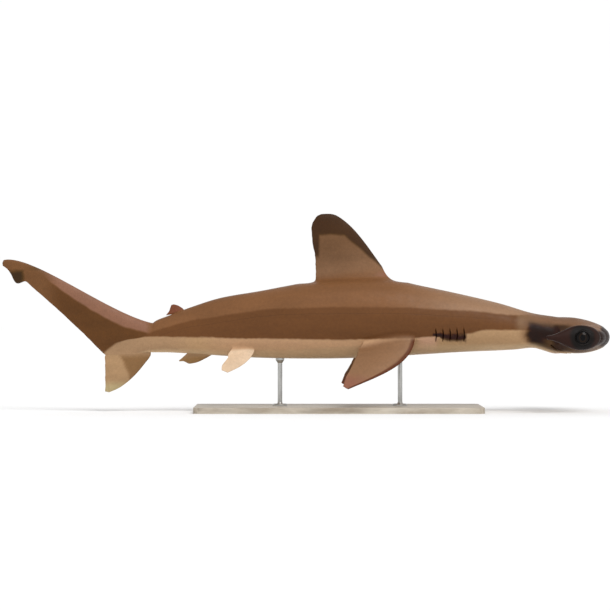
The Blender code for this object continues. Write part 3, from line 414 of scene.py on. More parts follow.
def spaced(start, end, cells, style="even"):
    """Places from start to end, closer together at the ends that style names."""
    places = []
    for step in range(cells + 1):
        t = step / cells
        if style == "both":
            t = (1 - math.cos(math.pi * t)) / 2
        elif style == "end":
            t = math.sin(math.pi * t / 2)
        places.append(mix(start, end, t))
    return places


def chain(start, *spans):
    """Places through spans that follow each other, each given as its end, cells and style."""
    places = [start]
    for end, *spacing in spans:
        places += spaced(start, end, *spacing)[1:]
        start = end
    return places


def fin_profile(chord, edge=0.0, peak=FIN_PEAK, power=2):
    """Half thickness of a fin or wing section, from 0 at the front to edge at the rear."""
    if chord < peak:
        return math.sqrt(max(0.0, 1 - ((peak - chord) / peak) ** power))
    fall = (1 + math.cos(math.pi * (chord - peak) / (1 - peak))) / 2
    return edge + (1 - edge) * fall


class Skin:
    """Points, four sided faces and point fields of the half surface."""

    def __init__(self):
        self.points = []
        self.faces = []
        self.fields = []

    def point(self, x, y, z, **fields):
        self.points.append(Vector((x, y, z)))
        self.fields.append(fields)
        return len(self.points) - 1

    def row(self, coordinates, **fields):
        return [self.point(*place, **fields) for place in coordinates]

    def chords(self, row):
        """Places of a row of points along a fin's base, from 0 at the front to 1."""
        start, end = self.points[row[0]].x, self.points[row[-1]].x
        return [(start - self.points[k].x) / (start - end) for k in row]

    def mark(self, row, chords):
        for k, chord in zip(row, chords):
            self.fields[k].update(chord=chord, ray=chord)

    def sheet(self, first, second):
        """Faces between two rows of points of the same length."""
        for k in range(len(first) - 1):
            self.faces.append((first[k], first[k + 1], second[k + 1], second[k]))


def trunk_section(x):
    """Top, bottom and half width of the trunk, with the pit ahead of the tail."""
    top = value_at(BACK_LINE, x) - PIT_DEPTH * bell(x - PIT_X, PIT_WIDTH)
    return top, value_at(BELLY_LINE, x), value_at(HALF_WIDTH, x)


def point_on_section(section, angle, lift=0.0):
    """Out and height at an angle above the widest level, in degrees, raised by lift."""
    top, bottom, half = section
    widest = mix(bottom, top, WIDEST_LEVEL)
    turn = math.radians(angle)
    out = half * abs(math.cos(turn)) ** (2 / SECTION_POWER)
    rise = abs(math.sin(turn)) ** (2 / SECTION_POWER)
    height = widest + ((top if angle >= 0 else bottom) - widest) * rise
    if lift:
        above = point_on_section(section, angle + 1)
        below = point_on_section(section, angle - 1)
        run = math.hypot(above[0] - below[0], above[1] - below[1])
        out += lift * (above[1] - below[1]) / run
        height -= lift * (above[0] - below[0]) / run
    return out, height


def angle_at_level(x, level):
    """Angle on the lower flank whose point has the given height."""
    top, bottom, _ = trunk_section(x)
    widest = mix(bottom, top, WIDEST_LEVEL)
    part = min(1.0, max(0.0, (widest - level) / (widest - bottom)))
    return -math.degrees(math.asin(part ** (SECTION_POWER / 2)))


def paired_root(fin, x):
    """Angles above and below the root of a paired fin at a place along its base."""
    chord = (fin.base[0] - x) / (fin.base[0] - fin.base[1])
    level = mix(*fin.levels, chord)
    half = mix(ROOT_OPENING, fin.opening, math.sin(math.pi * min(1.0, chord) ** OPENING_POWER))
    return angle_at_level(x, level + half), angle_at_level(x, level - half)


def band_angles(x):
    """Angles of the rows above and below the paired fins at a place along the body."""
    keys = list(REAR_BAND)
    for fin in (PELVIC_FIN, PECTORAL_FIN):
        if fin.base[1] <= x <= fin.base[0]:
            return paired_root(fin, x)
        keys += [(end, *paired_root(fin, end)) for end in reversed(fin.base)]
    keys += FRONT_BAND
    if x <= keys[0][0]:
        return keys[0][1:]
    if x >= keys[-1][0]:
        return keys[-1][1:]
    index = row_before(keys, x)
    low, high = keys[index], keys[index + 1]
    return mix_points(low[1:], high[1:], smooth_step((x - low[0]) / (high[0] - low[0])))


def ring_angles(x):
    """Angles of the points round half a section, from the back down to the belly."""
    start, end = SHOULDER_TURN
    shoulder = mix(*SHOULDER_ANGLES, smooth_step((x - start) / (end - start)))
    upper, lower = band_angles(x)
    belly_cells = TOP_CELLS - BAND_CELLS
    return chain(90, (shoulder, TOP_CELLS), (upper, SIDE_CELLS), (lower, BAND_CELLS), (-90, belly_cells))


def trunk_places():
    """Places of the sections along the trunk, each with its step across a gill slit, if any."""
    neck_end, before_slits, after_slits = SLIT_SECTIONS
    front = [*chain(NECK_SECTION, (neck_end, 9)), before_slits]
    rear = chain(
        after_slits,
        (PECTORAL_FIN.base[0], 3, "end"),
        (DORSAL_FIN.base[0], 4, "both"),
        (PECTORAL_FIN.base[1], 6, "both"),
        (DORSAL_FIN.base[1], 7, "both"),
        (PELVIC_FIN.base[0], 8),
        (PELVIC_FIN.base[1], 6, "both"),
        (ANAL_FIN.base[0], 3),
        (ANAL_FIN.base[1], 6, "both"),
    )
    rear.append(ANAL_TIP_SECTION)
    rear += chain(SECOND_FIN.base[0], (SECOND_FIN.base[1], 4, "both"), (STALK_SECTION, 3))
    rear.append(PIT_X)
    slits = [FIRST_SLIT_X - SLIT_SPACING * slit for slit in range(SLIT_COUNT)]
    steps = [(edge, step) for edge in slits for step in range(len(SLIT_PROFILE))]
    return [(place, None) for place in front] + steps + [(place, None) for place in rear]


def slit_point(edge, profile, angle, height):
    """Point at one step across a gill slit, bent to the slit's curve."""
    rest, behind, lift = profile
    t = (height - SLIT_LEVEL) / SLIT_HALF_HEIGHT
    flank = smooth_step((FLANK_END - abs(angle)) / FLANK_FADE)
    window = math.sqrt(max(0.0, 1 - t * t)) * flank
    x = edge - mix(rest, behind, window) + SLIT_BOW * bell(t, 1) * flank
    return x, *point_on_section(trunk_section(x), angle, lift * window)


def trunk_ring(edge, step):
    """Points round half a section of the trunk."""
    profile = None if step is None else SLIT_PROFILE[step]
    place = edge - (profile[0] if profile else 0.0)
    section = trunk_section(place)
    ring = []
    for angle in ring_angles(place):
        x = place
        out, height = point_on_section(section, angle)
        if profile:
            x, out, height = slit_point(edge, profile, angle, height)
        ring.append((x, -out, height))
    ring[0] = (place, 0.0, section[0])
    ring[-1] = (place, 0.0, section[1])
    return ring


def front_edge(out):
    """Distance of the hammer's front edge behind the snout front."""
    deep, start, wide = FRONT_CORNER
    sweep = FRONT_SWEEP * ((out / SWEEP_END) ** 2 - (SWEEP_START / SWEEP_END) ** 2)
    notches = sum(depth * bell(out - y, width) for y, depth, width in FRONT_NOTCHES)
    return max(0.0, sweep) + notches + deep * smooth_step((out - start) / wide)


def rear_edge(out):
    deep, start, wide = REAR_CORNER
    past = max(0.0, out - HAMMER_ROOT) / (HAMMER_HALF_SPAN - HAMMER_ROOT)
    return NECK_START + REAR_SWEEP * past**REAR_SWEEP_POWER - deep * smooth_step((out - start) / wide)


def nose_shape(out):
    """Chord of the thickest place and the power of the nose curve."""
    outward = smooth_step(out / NOSE_CHANGE)
    return mix(*THICKEST_CHORD, outward), mix(*NOSE_POWER, outward)


def hammer_half(out, chord):
    """Half thickness of the hammer at a place out from the middle and back from the front edge."""
    thick = value_at(HAMMER_HALF_THICKNESS, out)
    return thick * fin_profile(chord, value_at(REAR_EDGE_HALF, out) / thick, *nose_shape(out))


def hammer_point(out, chord, lift):
    """Point of the hammer, with lift from -1 on the underside to 1 on top."""
    behind = mix(front_edge(out), rear_edge(out), chord)
    middle = HEAD_LEVEL + CENTRE_LIFT * smooth_step(behind / NECK_START) * bell(out, CENTRE_LIFT_WIDTH)
    return SNOUT_X - behind, -out, middle + lift * hammer_half(out, chord)


def side_lifts():
    """Lifts of the points between the top and the underside, evenly spread."""
    return [1 - 2 * part / SIDE_CELLS for part in range(1, SIDE_CELLS)]


def nose_points(out):
    """Points round the front edge, evenly spread between the top and the underside."""
    peak, power = nose_shape(out)
    widest = 1 - ((peak - CHORDS[-1]) / peak) ** power
    points = []
    for level in side_lifts():
        chord = peak * (1 - (1 - widest * level * level) ** (1 / power))
        points.append(hammer_point(out, chord, math.copysign(1.0, level)))
    return points


def rear_points(out):
    """Points round the free rear edge."""
    turns = [math.pi * part / SIDE_CELLS for part in range(1, SIDE_CELLS)]
    return [hammer_point(out, 1 - REAR_ROUND * (1 - math.sin(turn)), math.cos(turn)) for turn in turns]


def hammer_loop(skin, index, out):
    """Top, nose, underside and rear rows of one section of the hammer."""
    chords = list(CHORDS)
    if index > TOP_CELLS:
        chords[0] = 1 - REAR_ROUND
    faces = ([hammer_point(out, chord, lift) for chord in chords] for lift in (1.0, -1.0))
    top, under = (skin.row(face, hammer=1.0) for face in faces)
    nose = [top[-1], *skin.row(nose_points(out), hammer=1.0), under[-1]]
    if index < TOP_CELLS:
        return top, nose, under, None
    side = rear_points(out)
    if index == TOP_CELLS:
        side = [hammer_point(out, 1.0, lift) for lift in side_lifts()]
    return top, nose, under, [top[0], *skin.row(side, hammer=1.0), under[0]]


def hammer(skin):
    """Half of the head's hammer, and the ring where the neck joins it."""
    columns = [*spaced(0.0, HAMMER_ROOT, TOP_CELLS), *HAMMER_COLUMNS, HAMMER_HALF_SPAN]
    loops = [hammer_loop(skin, index, out) for index, out in enumerate(columns)]
    for index, (loop, after) in enumerate(zip(loops, loops[1:])):
        for part in range(3 if index < TOP_CELLS else 4):
            skin.sheet(loop[part], after[part])
    hammer_end(skin, loops[-1])
    middle = loops[:TOP_CELLS]
    return [loop[0][0] for loop in middle] + loops[TOP_CELLS][3] + [loop[2][0] for loop in reversed(middle)]


def end_point(chord, lift):
    """Point on the bulging end face of the hammer."""
    bulge = HAMMER_END_BULGE * (1 - lift * lift) * math.sin(math.pi * min(1.0, max(0.0, chord))) ** 0.5
    x, _, z = hammer_point(HAMMER_HALF_SPAN, chord, lift)
    return x, -(HAMMER_HALF_SPAN + bulge), z


def hammer_end(skin, loop):
    """End face of the hammer, open where the eye sits."""
    top, nose, under, rear = loop
    rows = [rear]
    for index in range(1, len(top) - 1):
        row = skin.row([end_point(CHORDS[index], lift) for lift in side_lifts()], hammer=1.0)
        rows.append([top[index], *row, under[index]])
    rows.append(nose)
    first, last, low, high = EYE_BLOCK
    for index, (row, after) in enumerate(zip(rows, rows[1:])):
        for k in range(SIDE_CELLS):
            if not (first <= index < last and low <= k < high):
                skin.faces.append((row[k], row[k + 1], after[k + 1], after[k]))
    rim = rows[first][low:high] + [row[high] for row in rows[first:last]]
    rim += rows[last][high:low:-1] + [row[low] for row in rows[last:first:-1]]
    eye_opening(skin, rim)
    for row in rows[first : last + 1]:
        for edge, middle, inner in ((0, 1, low), (SIDE_CELLS, SIDE_CELLS - 1, high)):
            skin.points[row[middle]] = skin.points[row[edge]].lerp(skin.points[row[inner]], 0.5)


def eye_ball():
    """Centre and radius of the right eyeball, from its solid in the frame."""
    low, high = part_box("eye_right")
    return (low + high) / 2, (high.z - low.z) / 2


def eye_opening(skin, rim):
    """Lids round the eye and the socket behind it."""
    centre, radius = eye_ball()
    turns = [math.radians(RIM_START_ANGLE + 360 * k / len(rim)) for k in range(len(rim))]

    def loop_at(reach, out, wide=1.0, tall=1.0):
        places = [(reach * wide * math.cos(turn), reach * tall * math.sin(turn)) for turn in turns]
        return [(centre.x + x, -out, centre.z + z) for x, z in places]

    front, rear = front_edge(HAMMER_HALF_SPAN), rear_edge(HAMMER_HALF_SPAN)
    for corner, (x, _, z) in zip(rim, loop_at(RIM_REACH, 0.0, *EYE_STRETCH)):
        chord = (SNOUT_X - x - front) / (rear - front)
        lift = (z - HEAD_LEVEL) / hammer_half(HAMMER_HALF_SPAN, chord)
        skin.points[corner] = Vector(end_point(chord, lift))
    loops = [rim]
    for reach, over in LID_LOOPS:
        loops.append(skin.row(loop_at(reach, EYE_FACE + over, *EYE_STRETCH), hammer=1.0))
    socket = radius + SOCKET_GAP
    for turn in map(math.radians, SOCKET_TURNS):
        loops.append(skin.row(loop_at(socket * math.sin(turn), -centre.y + socket * math.cos(turn))))
    for first, second in zip(loops, loops[1:]):
        skin.sheet(first + first[:1], second + second[:1])
    skin.faces.append(tuple(loops[-1]))


def tail_sections():
    """Upper edge place, lower edge point and lower root part of each section of the tail."""
    front, fork = LOWER_LOBE_BASE
    roots = spaced(0.0, 1.0, LOBE_ROOT_CELLS, "both")
    sections = [(UPPER_FORK_PART * t, mix_points(front, fork, t), t) for t in roots]
    for t in spaced(0.0, 1.0, REAR_EDGE_CELLS)[1:]:
        x, z = mix_points(fork, UPPER_REAR_END, t)
        lower = (x, z + UPPER_REAR_BOW * math.sin(math.pi * t))
        sections.append((mix(UPPER_FORK_PART, UPPER_REAR_PART, t), lower, None))
    sections.append((UPPER_NOTCH_PART, UPPER_NOTCH, None))
    for t in TERMINAL_STEPS:
        sections.append((mix(*TERMINAL_PARTS, t), cubic(TERMINAL_EDGE, t), None))
    return sections


def tail_row(skin, part, lower, root, bulge=0.0):
    """One section of the tail from its upper edge down; the last is flat, and bulges to the rear."""
    upper = cubic(UPPER_FRONT, part)
    half = value_at(UPPER_HALF_WIDTH, part)
    blade = 1.0 if root is None else smooth_step(root)
    floor = 0.0 if root is None else LOWER_LOBE.half[0] * fin_profile(root) * ramp(root, *FLOOR_START)
    fin = ramp(part, *TAIL_FIN_START) if root is None else blade
    row = []
    for k in range(RING_CELLS + 1):
        turn = math.pi * k / RING_CELLS
        down = (1 - math.cos(turn)) / 2
        web = fin_profile(down, THIN_EDGE_HALF / half)
        out = math.hypot(half * mix(math.sin(turn), web, blade), floor * down)
        if bulge or k == 0 or (k == RING_CELLS and floor < MIDLINE):
            out = 0.0
        x, z = mix_points(upper, lower, down)
        x -= bulge * math.sin(math.pi * down)
        ray = part * TAIL_RAYS[0] + down * TAIL_RAYS[1]
        row.append(skin.point(x, -out, z, upper=fin, chord=down, rise=part, ray=ray))
    return row


def fin_fields(name, chord, rise):
    return {name: 1.0, "chord": chord, "rise": rise, "ray": chord}


def median_fin(skin, fin, base, free_tip=True):
    """Half of a fin on the midline, grown from the row of points along its base."""
    chords = skin.chords(base)
    skin.mark(base, chords)
    for k, chord in zip(base[1:-1], chords[1:-1]):
        skin.points[k].y = -max(ROOT_HALF, ROOT_SWELL * fin.half[0] * fin_profile(chord))
    first = 1 / fin.rows * FIRST_ROW
    previous = base
    for step in range(1, fin.rows + 1):
        rise = first + (1 - first) * (step - 1) / (fin.rows - 1)
        lead = cubic(fin.front, rise)
        trail = cubic(fin.rear, (rise - first) / (1 - first) if free_tip else rise)
        half = mix(*fin.half, rise)
        row = []
        for index, chord in enumerate(chords):
            edge = index in (0, len(chords) - 1) or step == fin.rows
            out = 0.0 if edge else max(THIN_EDGE_HALF, half * fin_profile(chord))
            x, z = mix_points(lead, trail, chord)
            row.append(skin.point(x, -out, z, **fin_fields(fin.name, chord, rise)))
        skin.sheet(previous, row)
        previous = row


def paired_edges(fin, rise, start, end):
    """Front and rear points of a paired fin's section, given its root's front and rear points."""
    first = PAIRED_ROWS[0]
    lead = Vector((*cubic(fin.front, rise), 0.0)).xzy
    trail = Vector((*cubic(fin.rear, (rise - first) / (1 - first)), 0.0)).xzy
    out = fin.reach * rise**REACH_POWER
    lead.y = start.y - out
    trail.y = mix(end.y, start.y, mix(TRAIL_DRIFT, 1, rise)) - out
    return lead, trail


def paired_section(skin, fin, rise, lead, trail, chords):
    """Rows of points on both sides of a paired fin's section, and its front and rear points."""
    normal = (trail - lead).normalized().cross(Vector(FIN_SPREAD)).normalized()
    if normal.z < 0:
        normal = -normal
    half = mix(*fin.half, rise)
    low, high = CHORD_LIMITS
    top, under = [], []
    for chord in chords:
        place = min(high, max(low, chord))
        thick = normal * max(THIN_EDGE_HALF, half * fin_profile(place))
        centre = lead.lerp(trail, place)
        fields = fin_fields(fin.name, place, rise)
        top.append(skin.point(*(centre + thick), **fields))
        under.append(skin.point(*(centre - thick), **fields))
    nose = skin.point(*lead, **fin_fields(fin.name, 0.0, rise))
    tail = skin.point(*trail, **fin_fields(fin.name, 1.0, rise))
    return top, under, nose, tail


def section_rows(top, under, nose, tail):
    """The rows round a paired fin's section: both sides, its front and its rear."""
    return top, under, [top[0], nose, under[0]], [top[-1], tail, under[-1]]


def paired_fin(skin, fin, upper, middle, lower):
    """Fin on the lower flank, grown from the gap between two rows of points."""
    start, end = (skin.points[middle[index]].copy() for index in (0, -1))
    chords = skin.chords(middle)
    for root in (upper, middle, lower):
        skin.mark(root, chords)
    section = (upper, lower, middle[0], middle[-1])
    spread = (len(PAIRED_ROWS) - 1) / (fin.rows - 1)
    for rise in [PAIRED_ROWS[round(row * spread)] for row in range(fin.rows)]:
        previous = section
        lead, trail = paired_edges(fin, rise, start, end)
        section = paired_section(skin, fin, rise, lead, trail, chords)
        for row, after in zip(section_rows(*previous), section_rows(*section)):
            skin.sheet(row, after)
    top, under, nose, tail = section
    centre = [nose]
    for a, b, chord in zip(top[1:-1], under[1:-1], chords[1:-1]):
        place = (skin.points[a] + skin.points[b]) / 2 + Vector(TIP_WAY) * TIP_BULGE
        centre.append(skin.point(*place, **fin_fields(fin.name, chord, 1.0)))
    centre.append(tail)
    skin.sheet(top, centre)
    skin.sheet(centre, under)


def rings_over(places, fin):
    """Numbers of the trunk's sections over a fin's base."""
    first, last = (min(range(len(places)), key=lambda k: abs(places[k] - end)) for end in fin.base)
    return range(first, last + 1)


def half_skin():
    """The whole right half of the animal as one open cage on the midline."""
    skin = Skin()
    rings = [hammer(skin)]
    places = [SNOUT_X - NECK_START]
    for edge, step in trunk_places():
        ring = trunk_ring(edge, step)
        places.append(ring[0][0])
        rings.append(skin.row(ring))
    holes = [index for fin in (PECTORAL_FIN, PELVIC_FIN) for index in rings_over(places, fin)[:-1]]
    for index, (ring, after) in enumerate(zip(rings, rings[1:])):
        if index in holes:
            skin.sheet(ring[: BAND + 1], after[: BAND + 1])
            skin.sheet(ring[BAND_END:], after[BAND_END:])
        else:
            skin.sheet(ring, after)

    sections = tail_sections()
    tail = [tail_row(skin, *section) for section in sections]
    tail.append(tail_row(skin, 1.0, cubic(TERMINAL_EDGE, 1.0), None, TAIL_TIP_BULGE))
    for row, after in zip([rings[-1], *tail], tail):
        skin.sheet(row, after)

    for fin in (PECTORAL_FIN, PELVIC_FIN):
        roots = [rings[index][BAND : BAND_END + 1] for index in rings_over(places, fin)]
        paired_fin(skin, fin, *(list(root) for root in zip(*roots)))
    for fin, side in ((DORSAL_FIN, 0), (SECOND_FIN, 0), (ANAL_FIN, -1)):
        median_fin(skin, fin, [rings[index][side] for index in rings_over(places, fin)])
    lobe = [row[-1] for row, section in zip(tail, sections) if section[2] is not None]
    median_fin(skin, LOWER_LOBE, lobe, free_tip=False)
    return skin


def in_scene(name, data):
    obj = bpy.data.objects.new(name, data)
    bpy.context.scene.collection.objects.link(obj)
    return obj


def mesh_object(name, bm):
    """Object in the scene, with a mesh of the same name."""
    mesh = bpy.data.meshes.new(name)
    bm.to_mesh(mesh)
    bm.free()
    return in_scene(name, mesh)


def cage_object():
    """The cage of the whole animal, mirrored, with its fields as attributes."""
    skin = half_skin()
    bm = bmesh.new()
    layers = [(name, bm.verts.layers.float.new(name)) for name in FIELDS]
    corners = []
    for place, fields in zip(skin.points, skin.fields):
        corner = bm.verts.new(place)
        for name, layer in layers:
            corner[layer] = fields.get(name, 0.0)
        corners.append(corner)
    for face in skin.faces:
        bm.faces.new([corners[k] for k in face])
    loose = [corner for corner in bm.verts if not corner.link_faces]
    bmesh.ops.delete(bm, geom=loose, context="VERTS")
    everything = bm.verts[:] + bm.edges[:] + bm.faces[:]
    bmesh.ops.mirror(bm, geom=everything, axis="Y", merge_dist=MERGE_DISTANCE)
    bmesh.ops.recalc_face_normals(bm, faces=bm.faces[:])
    return mesh_object("shark_skin", bm)


def numbers(items, name, width=3, kind=np.float32):
    """One property of many mesh items, as an array with a row for each."""
    flat = np.zeros(len(items) * width, kind)
    items.foreach_get(name, flat)
    return flat.reshape(-1, width)


def coordinates(mesh):
    return numbers(mesh.vertices, "co").astype(float)


def vertex_normals(mesh):
    return numbers(mesh.vertex_normals, "vector").astype(float)


def field(mesh, name):
    return numbers(mesh.attributes[name].data, "value", 1)[:, 0].astype(float)


def add_field(mesh, name, values):
    layer = mesh.attributes.new(name, "FLOAT", "POINT")
    layer.data.foreach_set("value", np.asarray(values, np.float32))


def set_coordinates(mesh, places):
    mesh.vertices.foreach_set("co", places.astype(np.float32).ravel())
    mesh.update()


def inside_cad_box(places):
    return np.clip(places, *(np.array(corner) for corner in CAD_BOX))


def evaluated_mesh(obj):
    bpy.context.view_layer.update()
    graph = bpy.context.evaluated_depsgraph_get()
    return bpy.data.meshes.new_from_object(obj.evaluated_get(graph))


def smooth_from_cage(obj):
    """Subdivides the cage, moved first so that the smooth surface runs through its points."""
    change = obj.modifiers.new("smooth", "SUBSURF")
    change.levels = SMOOTH_LEVELS
    change.render_levels = SMOOTH_LEVELS
    change.use_limit_surface = False
    goal = coordinates(obj.data)
    cage = goal.copy()
    for _ in range(FIT_ROUNDS):
        mesh = evaluated_mesh(obj)
        cage += FIT_SHARE * (goal - coordinates(mesh)[: len(goal)])
        bpy.data.meshes.remove(mesh)
        cage[np.abs(goal[:, 1]) < MIDLINE, 1] = 0.0
        set_coordinates(obj.data, cage)
    mesh = evaluated_mesh(obj)
    set_coordinates(mesh, inside_cad_box(coordinates(mesh)))
    obj.modifiers.clear()
    obj.data = mesh


def mouth_line(places, steps=60):
    """Line of the closed mouth, laid on the underside of the head."""
    x, _, z = places.T
    low, high = MOUTH_SPAN
    below = places[(z < HEAD_LEVEL - MOUTH_LEVEL_DROP) & (x > low) & (x < high)]
    line = []
    for step in range(steps + 1):
        y = MOUTH_HALF_WIDTH * math.sin((2 * step / steps - 1) * math.pi / 2)
        part = abs(y) / MOUTH_HALF_WIDTH
        x = SNOUT_X - mix(MOUTH_FRONT, MOUTH_REAR, part**MOUTH_POWER)
        near = np.argsort(np.hypot(below[:, 0] - x, below[:, 1] - y))[:4]
        line.append((x, y, below[near, 2].mean()))
    line = np.array(line)
    for _ in range(3):
        line[1:-1, 2] = (line[:-2, 2] + 2 * line[1:-1, 2] + line[2:, 2]) / 4
    return line


def nostril_line(side, steps=24):
    """Line of the groove along the front edge, and of the nostril near its outer end."""
    outs = spaced(GROOVE_INNER_Y, GROOVE_OUTER_Y, steps)
    points = [hammer_point(out, GROOVE_CHORD, GROOVE_LIFT) for out in outs]
    return np.array([(x, -side * y, z) for x, y, z in points])


def gill_line(side):
    """Line on the flank through the middle of the gill slits."""
    places = []
    for x in spaced(GILL_SHADE_REAR, GILL_SHADE_FRONT, 12):
        out, height = point_on_section(trunk_section(x), angle_at_level(x, SLIT_LEVEL - GILL_LINE_DROP))
        places.append((x, side * out, height))
    return np.array(places)


def vent_line():
    """Line of the vent, on the midline between the pelvic fins."""
    middle, half = VENT_PLACE
    return np.array([(x, 0.0, value_at(BELLY_LINE, x)) for x in spaced(middle - half, middle + half, 8)])


def distance_to_line(places, line):
    """Distance to the nearest place on a line, and how far along the line that is."""
    best = np.full(len(places), np.inf)
    along = np.zeros(len(places))
    for index, (a, b) in enumerate(zip(line, line[1:])):
        run = b - a
        t = np.clip(((places - a) @ run) / (run @ run), 0, 1)
        away = np.linalg.norm(places - a - t[:, None] * run, axis=1)
        closer = away < best
        best[closer] = away[closer]
        along[closer] = (index + t[closer]) / (len(line) - 1)
    return best, along


def face_centres(mesh):
    return numbers(mesh.polygons, "center").astype(float)


def refine(obj, chosen, cuts, rounds=5):
    """Splits the chosen faces into finer ones, and rounds them off."""
    bm = bmesh.new()
    bm.from_mesh(obj.data)
    bm.faces.ensure_lookup_table()
    faces = [bm.faces[k] for k in np.nonzero(chosen)[0]]
    edges = {edge for face in faces for edge in face.edges}
    made = bmesh.ops.subdivide_edges(bm, edges=list(edges), cuts=cuts, use_grid_fill=True)
    corners = {item for item in made["geom_inner"] if isinstance(item, bmesh.types.BMVert)}
    corners |= {corner for face in faces if face.is_valid for corner in face.verts}
    axes = {"use_axis_x": True, "use_axis_y": True, "use_axis_z": True}
    for _ in range(rounds):
        bmesh.ops.smooth_vert(bm, verts=list(corners), factor=0.5, **axes)
    bm.to_mesh(obj.data)
    bm.free()
    obj.data.update()


def refine_near(obj, line, passes, rounds=5):
    """Finer faces near a line, in passes that each have a reach and a number of cuts."""
    for reach, cuts in passes:
        away, _ = distance_to_line(face_centres(obj.data), line)
        refine(obj, away < reach, cuts, rounds)


def refine_markings(obj):
    """Finer faces where two colours meet, as seen from the side."""
    corner_x, corner_z = DARK_CAP_CORNER
    run, drop = DARK_CAP_FRONT
    dark_cap = (
        (DARK_TRAIL_X, DARK_TRAIL_END),
        (DARK_TRAIL_X, corner_z),
        (corner_x, corner_z),
        (corner_x + run, corner_z - drop),
    )
    web = [(x, z) for z, x in TAIL_WEB_END]
    flat = face_centres(obj.data) * (1.0, 0.0, 1.0)
    chosen = np.zeros(len(flat), bool)
    for line in (BACK_TO_FLANK, FLANK_TO_BELLY, TAIL_BAND_LINE, web, dark_cap):
        away, _ = distance_to_line(flat, np.array([(x, 0.0, z) for x, z in line]))
        chosen |= away < MARKING_REACH
    refine(obj, chosen, 1, rounds=0)


def mouth_relief(places, line):
    """Height over the underside: the gap of the mouth, its lips and the jaw behind it."""
    relief = np.zeros(len(places))
    low, high = line.min(axis=0) - MOUTH_MARGIN, line.max(axis=0) + MOUTH_MARGIN
    index = np.nonzero(((places > low) & (places < high)).all(axis=1) & (places[:, 2] < HEAD_LEVEL))[0]
    near = places[index]
    x, out = near[:, 0], np.abs(near[:, 1])
    away, along = distance_to_line(near, line)
    half = len(line) // 2
    ahead = (x > np.interp(out, line[half:, 1], line[half:, 0])) | (out > MOUTH_HALF_WIDTH)
    signed = np.where(ahead, away, -away)
    inward = 1 - np.abs(2 * along - 1)
    gap = -MOUTH_DEPTH * bell(away, MOUTH_GAP) * smooth_step(inward / GAP_FADE)
    lips = sum(height * bell(signed - place, width) for height, place, width in (UPPER_LIP, LOWER_LIP))
    jaw_x, length, width = JAW_PLACE
    jaw = JAW_SWELL * np.exp(-(((x - jaw_x) / length) ** 2) - (out / width) ** 2)
    start, rise = JAW_GAP
    relief[index] = gap + lips * smooth_step(inward / LIP_FADE) + jaw * smooth_step((away - start) / rise)
    return relief


def nostril_relief(places):
    """Depth of the nostrils and of the grooves along the front edge."""
    relief = np.zeros(len(places))
    groove_length = GROOVE_OUTER_Y - GROOVE_INNER_Y
    nostril_along = (NOSTRIL_Y - GROOVE_INNER_Y) / groove_length
    rear, inner, outer = NOSTRIL_AREA
    inner_fade, outer_fade = GROOVE_FADES
    rim_height, rim_width = NOSTRIL_RIM
    for side in (-1, 1):
        x, y, _ = places.T
        index = np.nonzero((x > rear) & (y * side > inner) & (y * side < outer))[0]
        away, along = distance_to_line(places[index], nostril_line(side))
        fade = smooth_step(along / inner_fade) * smooth_step((1 - along) / outer_fade)
        groove = -GROOVE_DEPTH * fade * bell(away, GROOVE_HALF_WIDTH)
        reach = (along - nostril_along) * groove_length / NOSTRIL_HALF_LENGTH
        round_part = np.sqrt(np.clip(1 - reach**2, 0, 1))
        hole = -NOSTRIL_DEPTH * smooth_step((NOSTRIL_HALF_WIDTH * round_part - away) / NOSTRIL_SLOPE)
        rim = rim_height * bell(away - NOSTRIL_HALF_WIDTH * NOSTRIL_RIM_REACH, rim_width) * bell(reach, 1)
        relief[index] = groove + hole + rim
    return relief


def vent_relief(places):
    """Narrow slit with low lips."""
    away, along = distance_to_line(places, vent_line())
    fade = smooth_step((1 - np.abs(2 * along - 1)) / VENT_FADE)
    return fade * sum(height * bell(away - place, width) for height, place, width in (VENT_LIPS, VENT_SLIT))


def relax(obj, weight, rounds):
    """Evens out the skin by the weight of each point."""
    mesh = obj.data
    places = coordinates(mesh)
    ends = numbers(mesh.edges, "vertices", 2, np.int32)
    ends = ends[(weight[ends] > 0).any(axis=1)]
    chosen, index = np.unique(ends, return_inverse=True)
    first, second = index.reshape(-1, 2).T
    local = places[chosen]
    share = 0.5 * weight[chosen][:, None]
    size = len(chosen)
    neighbours = np.bincount(np.concatenate((first, second)), minlength=size)[:, None]
    for _ in range(rounds):
        total = np.empty_like(local)
        for axis in range(3):
            total[:, axis] = np.bincount(first, local[second, axis], size)
            total[:, axis] += np.bincount(second, local[first, axis], size)
        local += (total / neighbours - local) * share
    places[chosen] = local
    set_coordinates(mesh, places)


def relax_near(obj, line, reach, rounds):
    """Evens out the skin near a line: in full on it, not at all past its reach."""
    away, _ = distance_to_line(coordinates(obj.data), np.array(line))
    relax(obj, smooth_step(NEAR_SHARE - NEAR_SHARE * away / reach), rounds)


def soften_joins(obj):
    """Fillets the neck's corners behind the hammer, and the feet of the fins."""
    for side in (-1, 1):
        out = side * (HAMMER_ROOT + CORNER_OUT)
        corner = [(SNOUT_X - NECK_START, out, level) for level in CORNER_LEVELS]
        relax_near(obj, corner, CORNER_REACH, CORNER_ROUNDS)
    base = [(x, 0.0, value_at(BACK_LINE, x)) for x in spaced(*DORSAL_FOOT_SPAN, 12)]
    relax_near(obj, base, DORSAL_FOOT_REACH, DORSAL_ROUNDS)
    for name in ("second", "anal", "pectoral", "pelvic"):
        share = field(obj.data, name)
        relax(obj, np.clip(FOOT_WEIGHT * share * (1 - share), 0, 1), FOOT_ROUNDS)


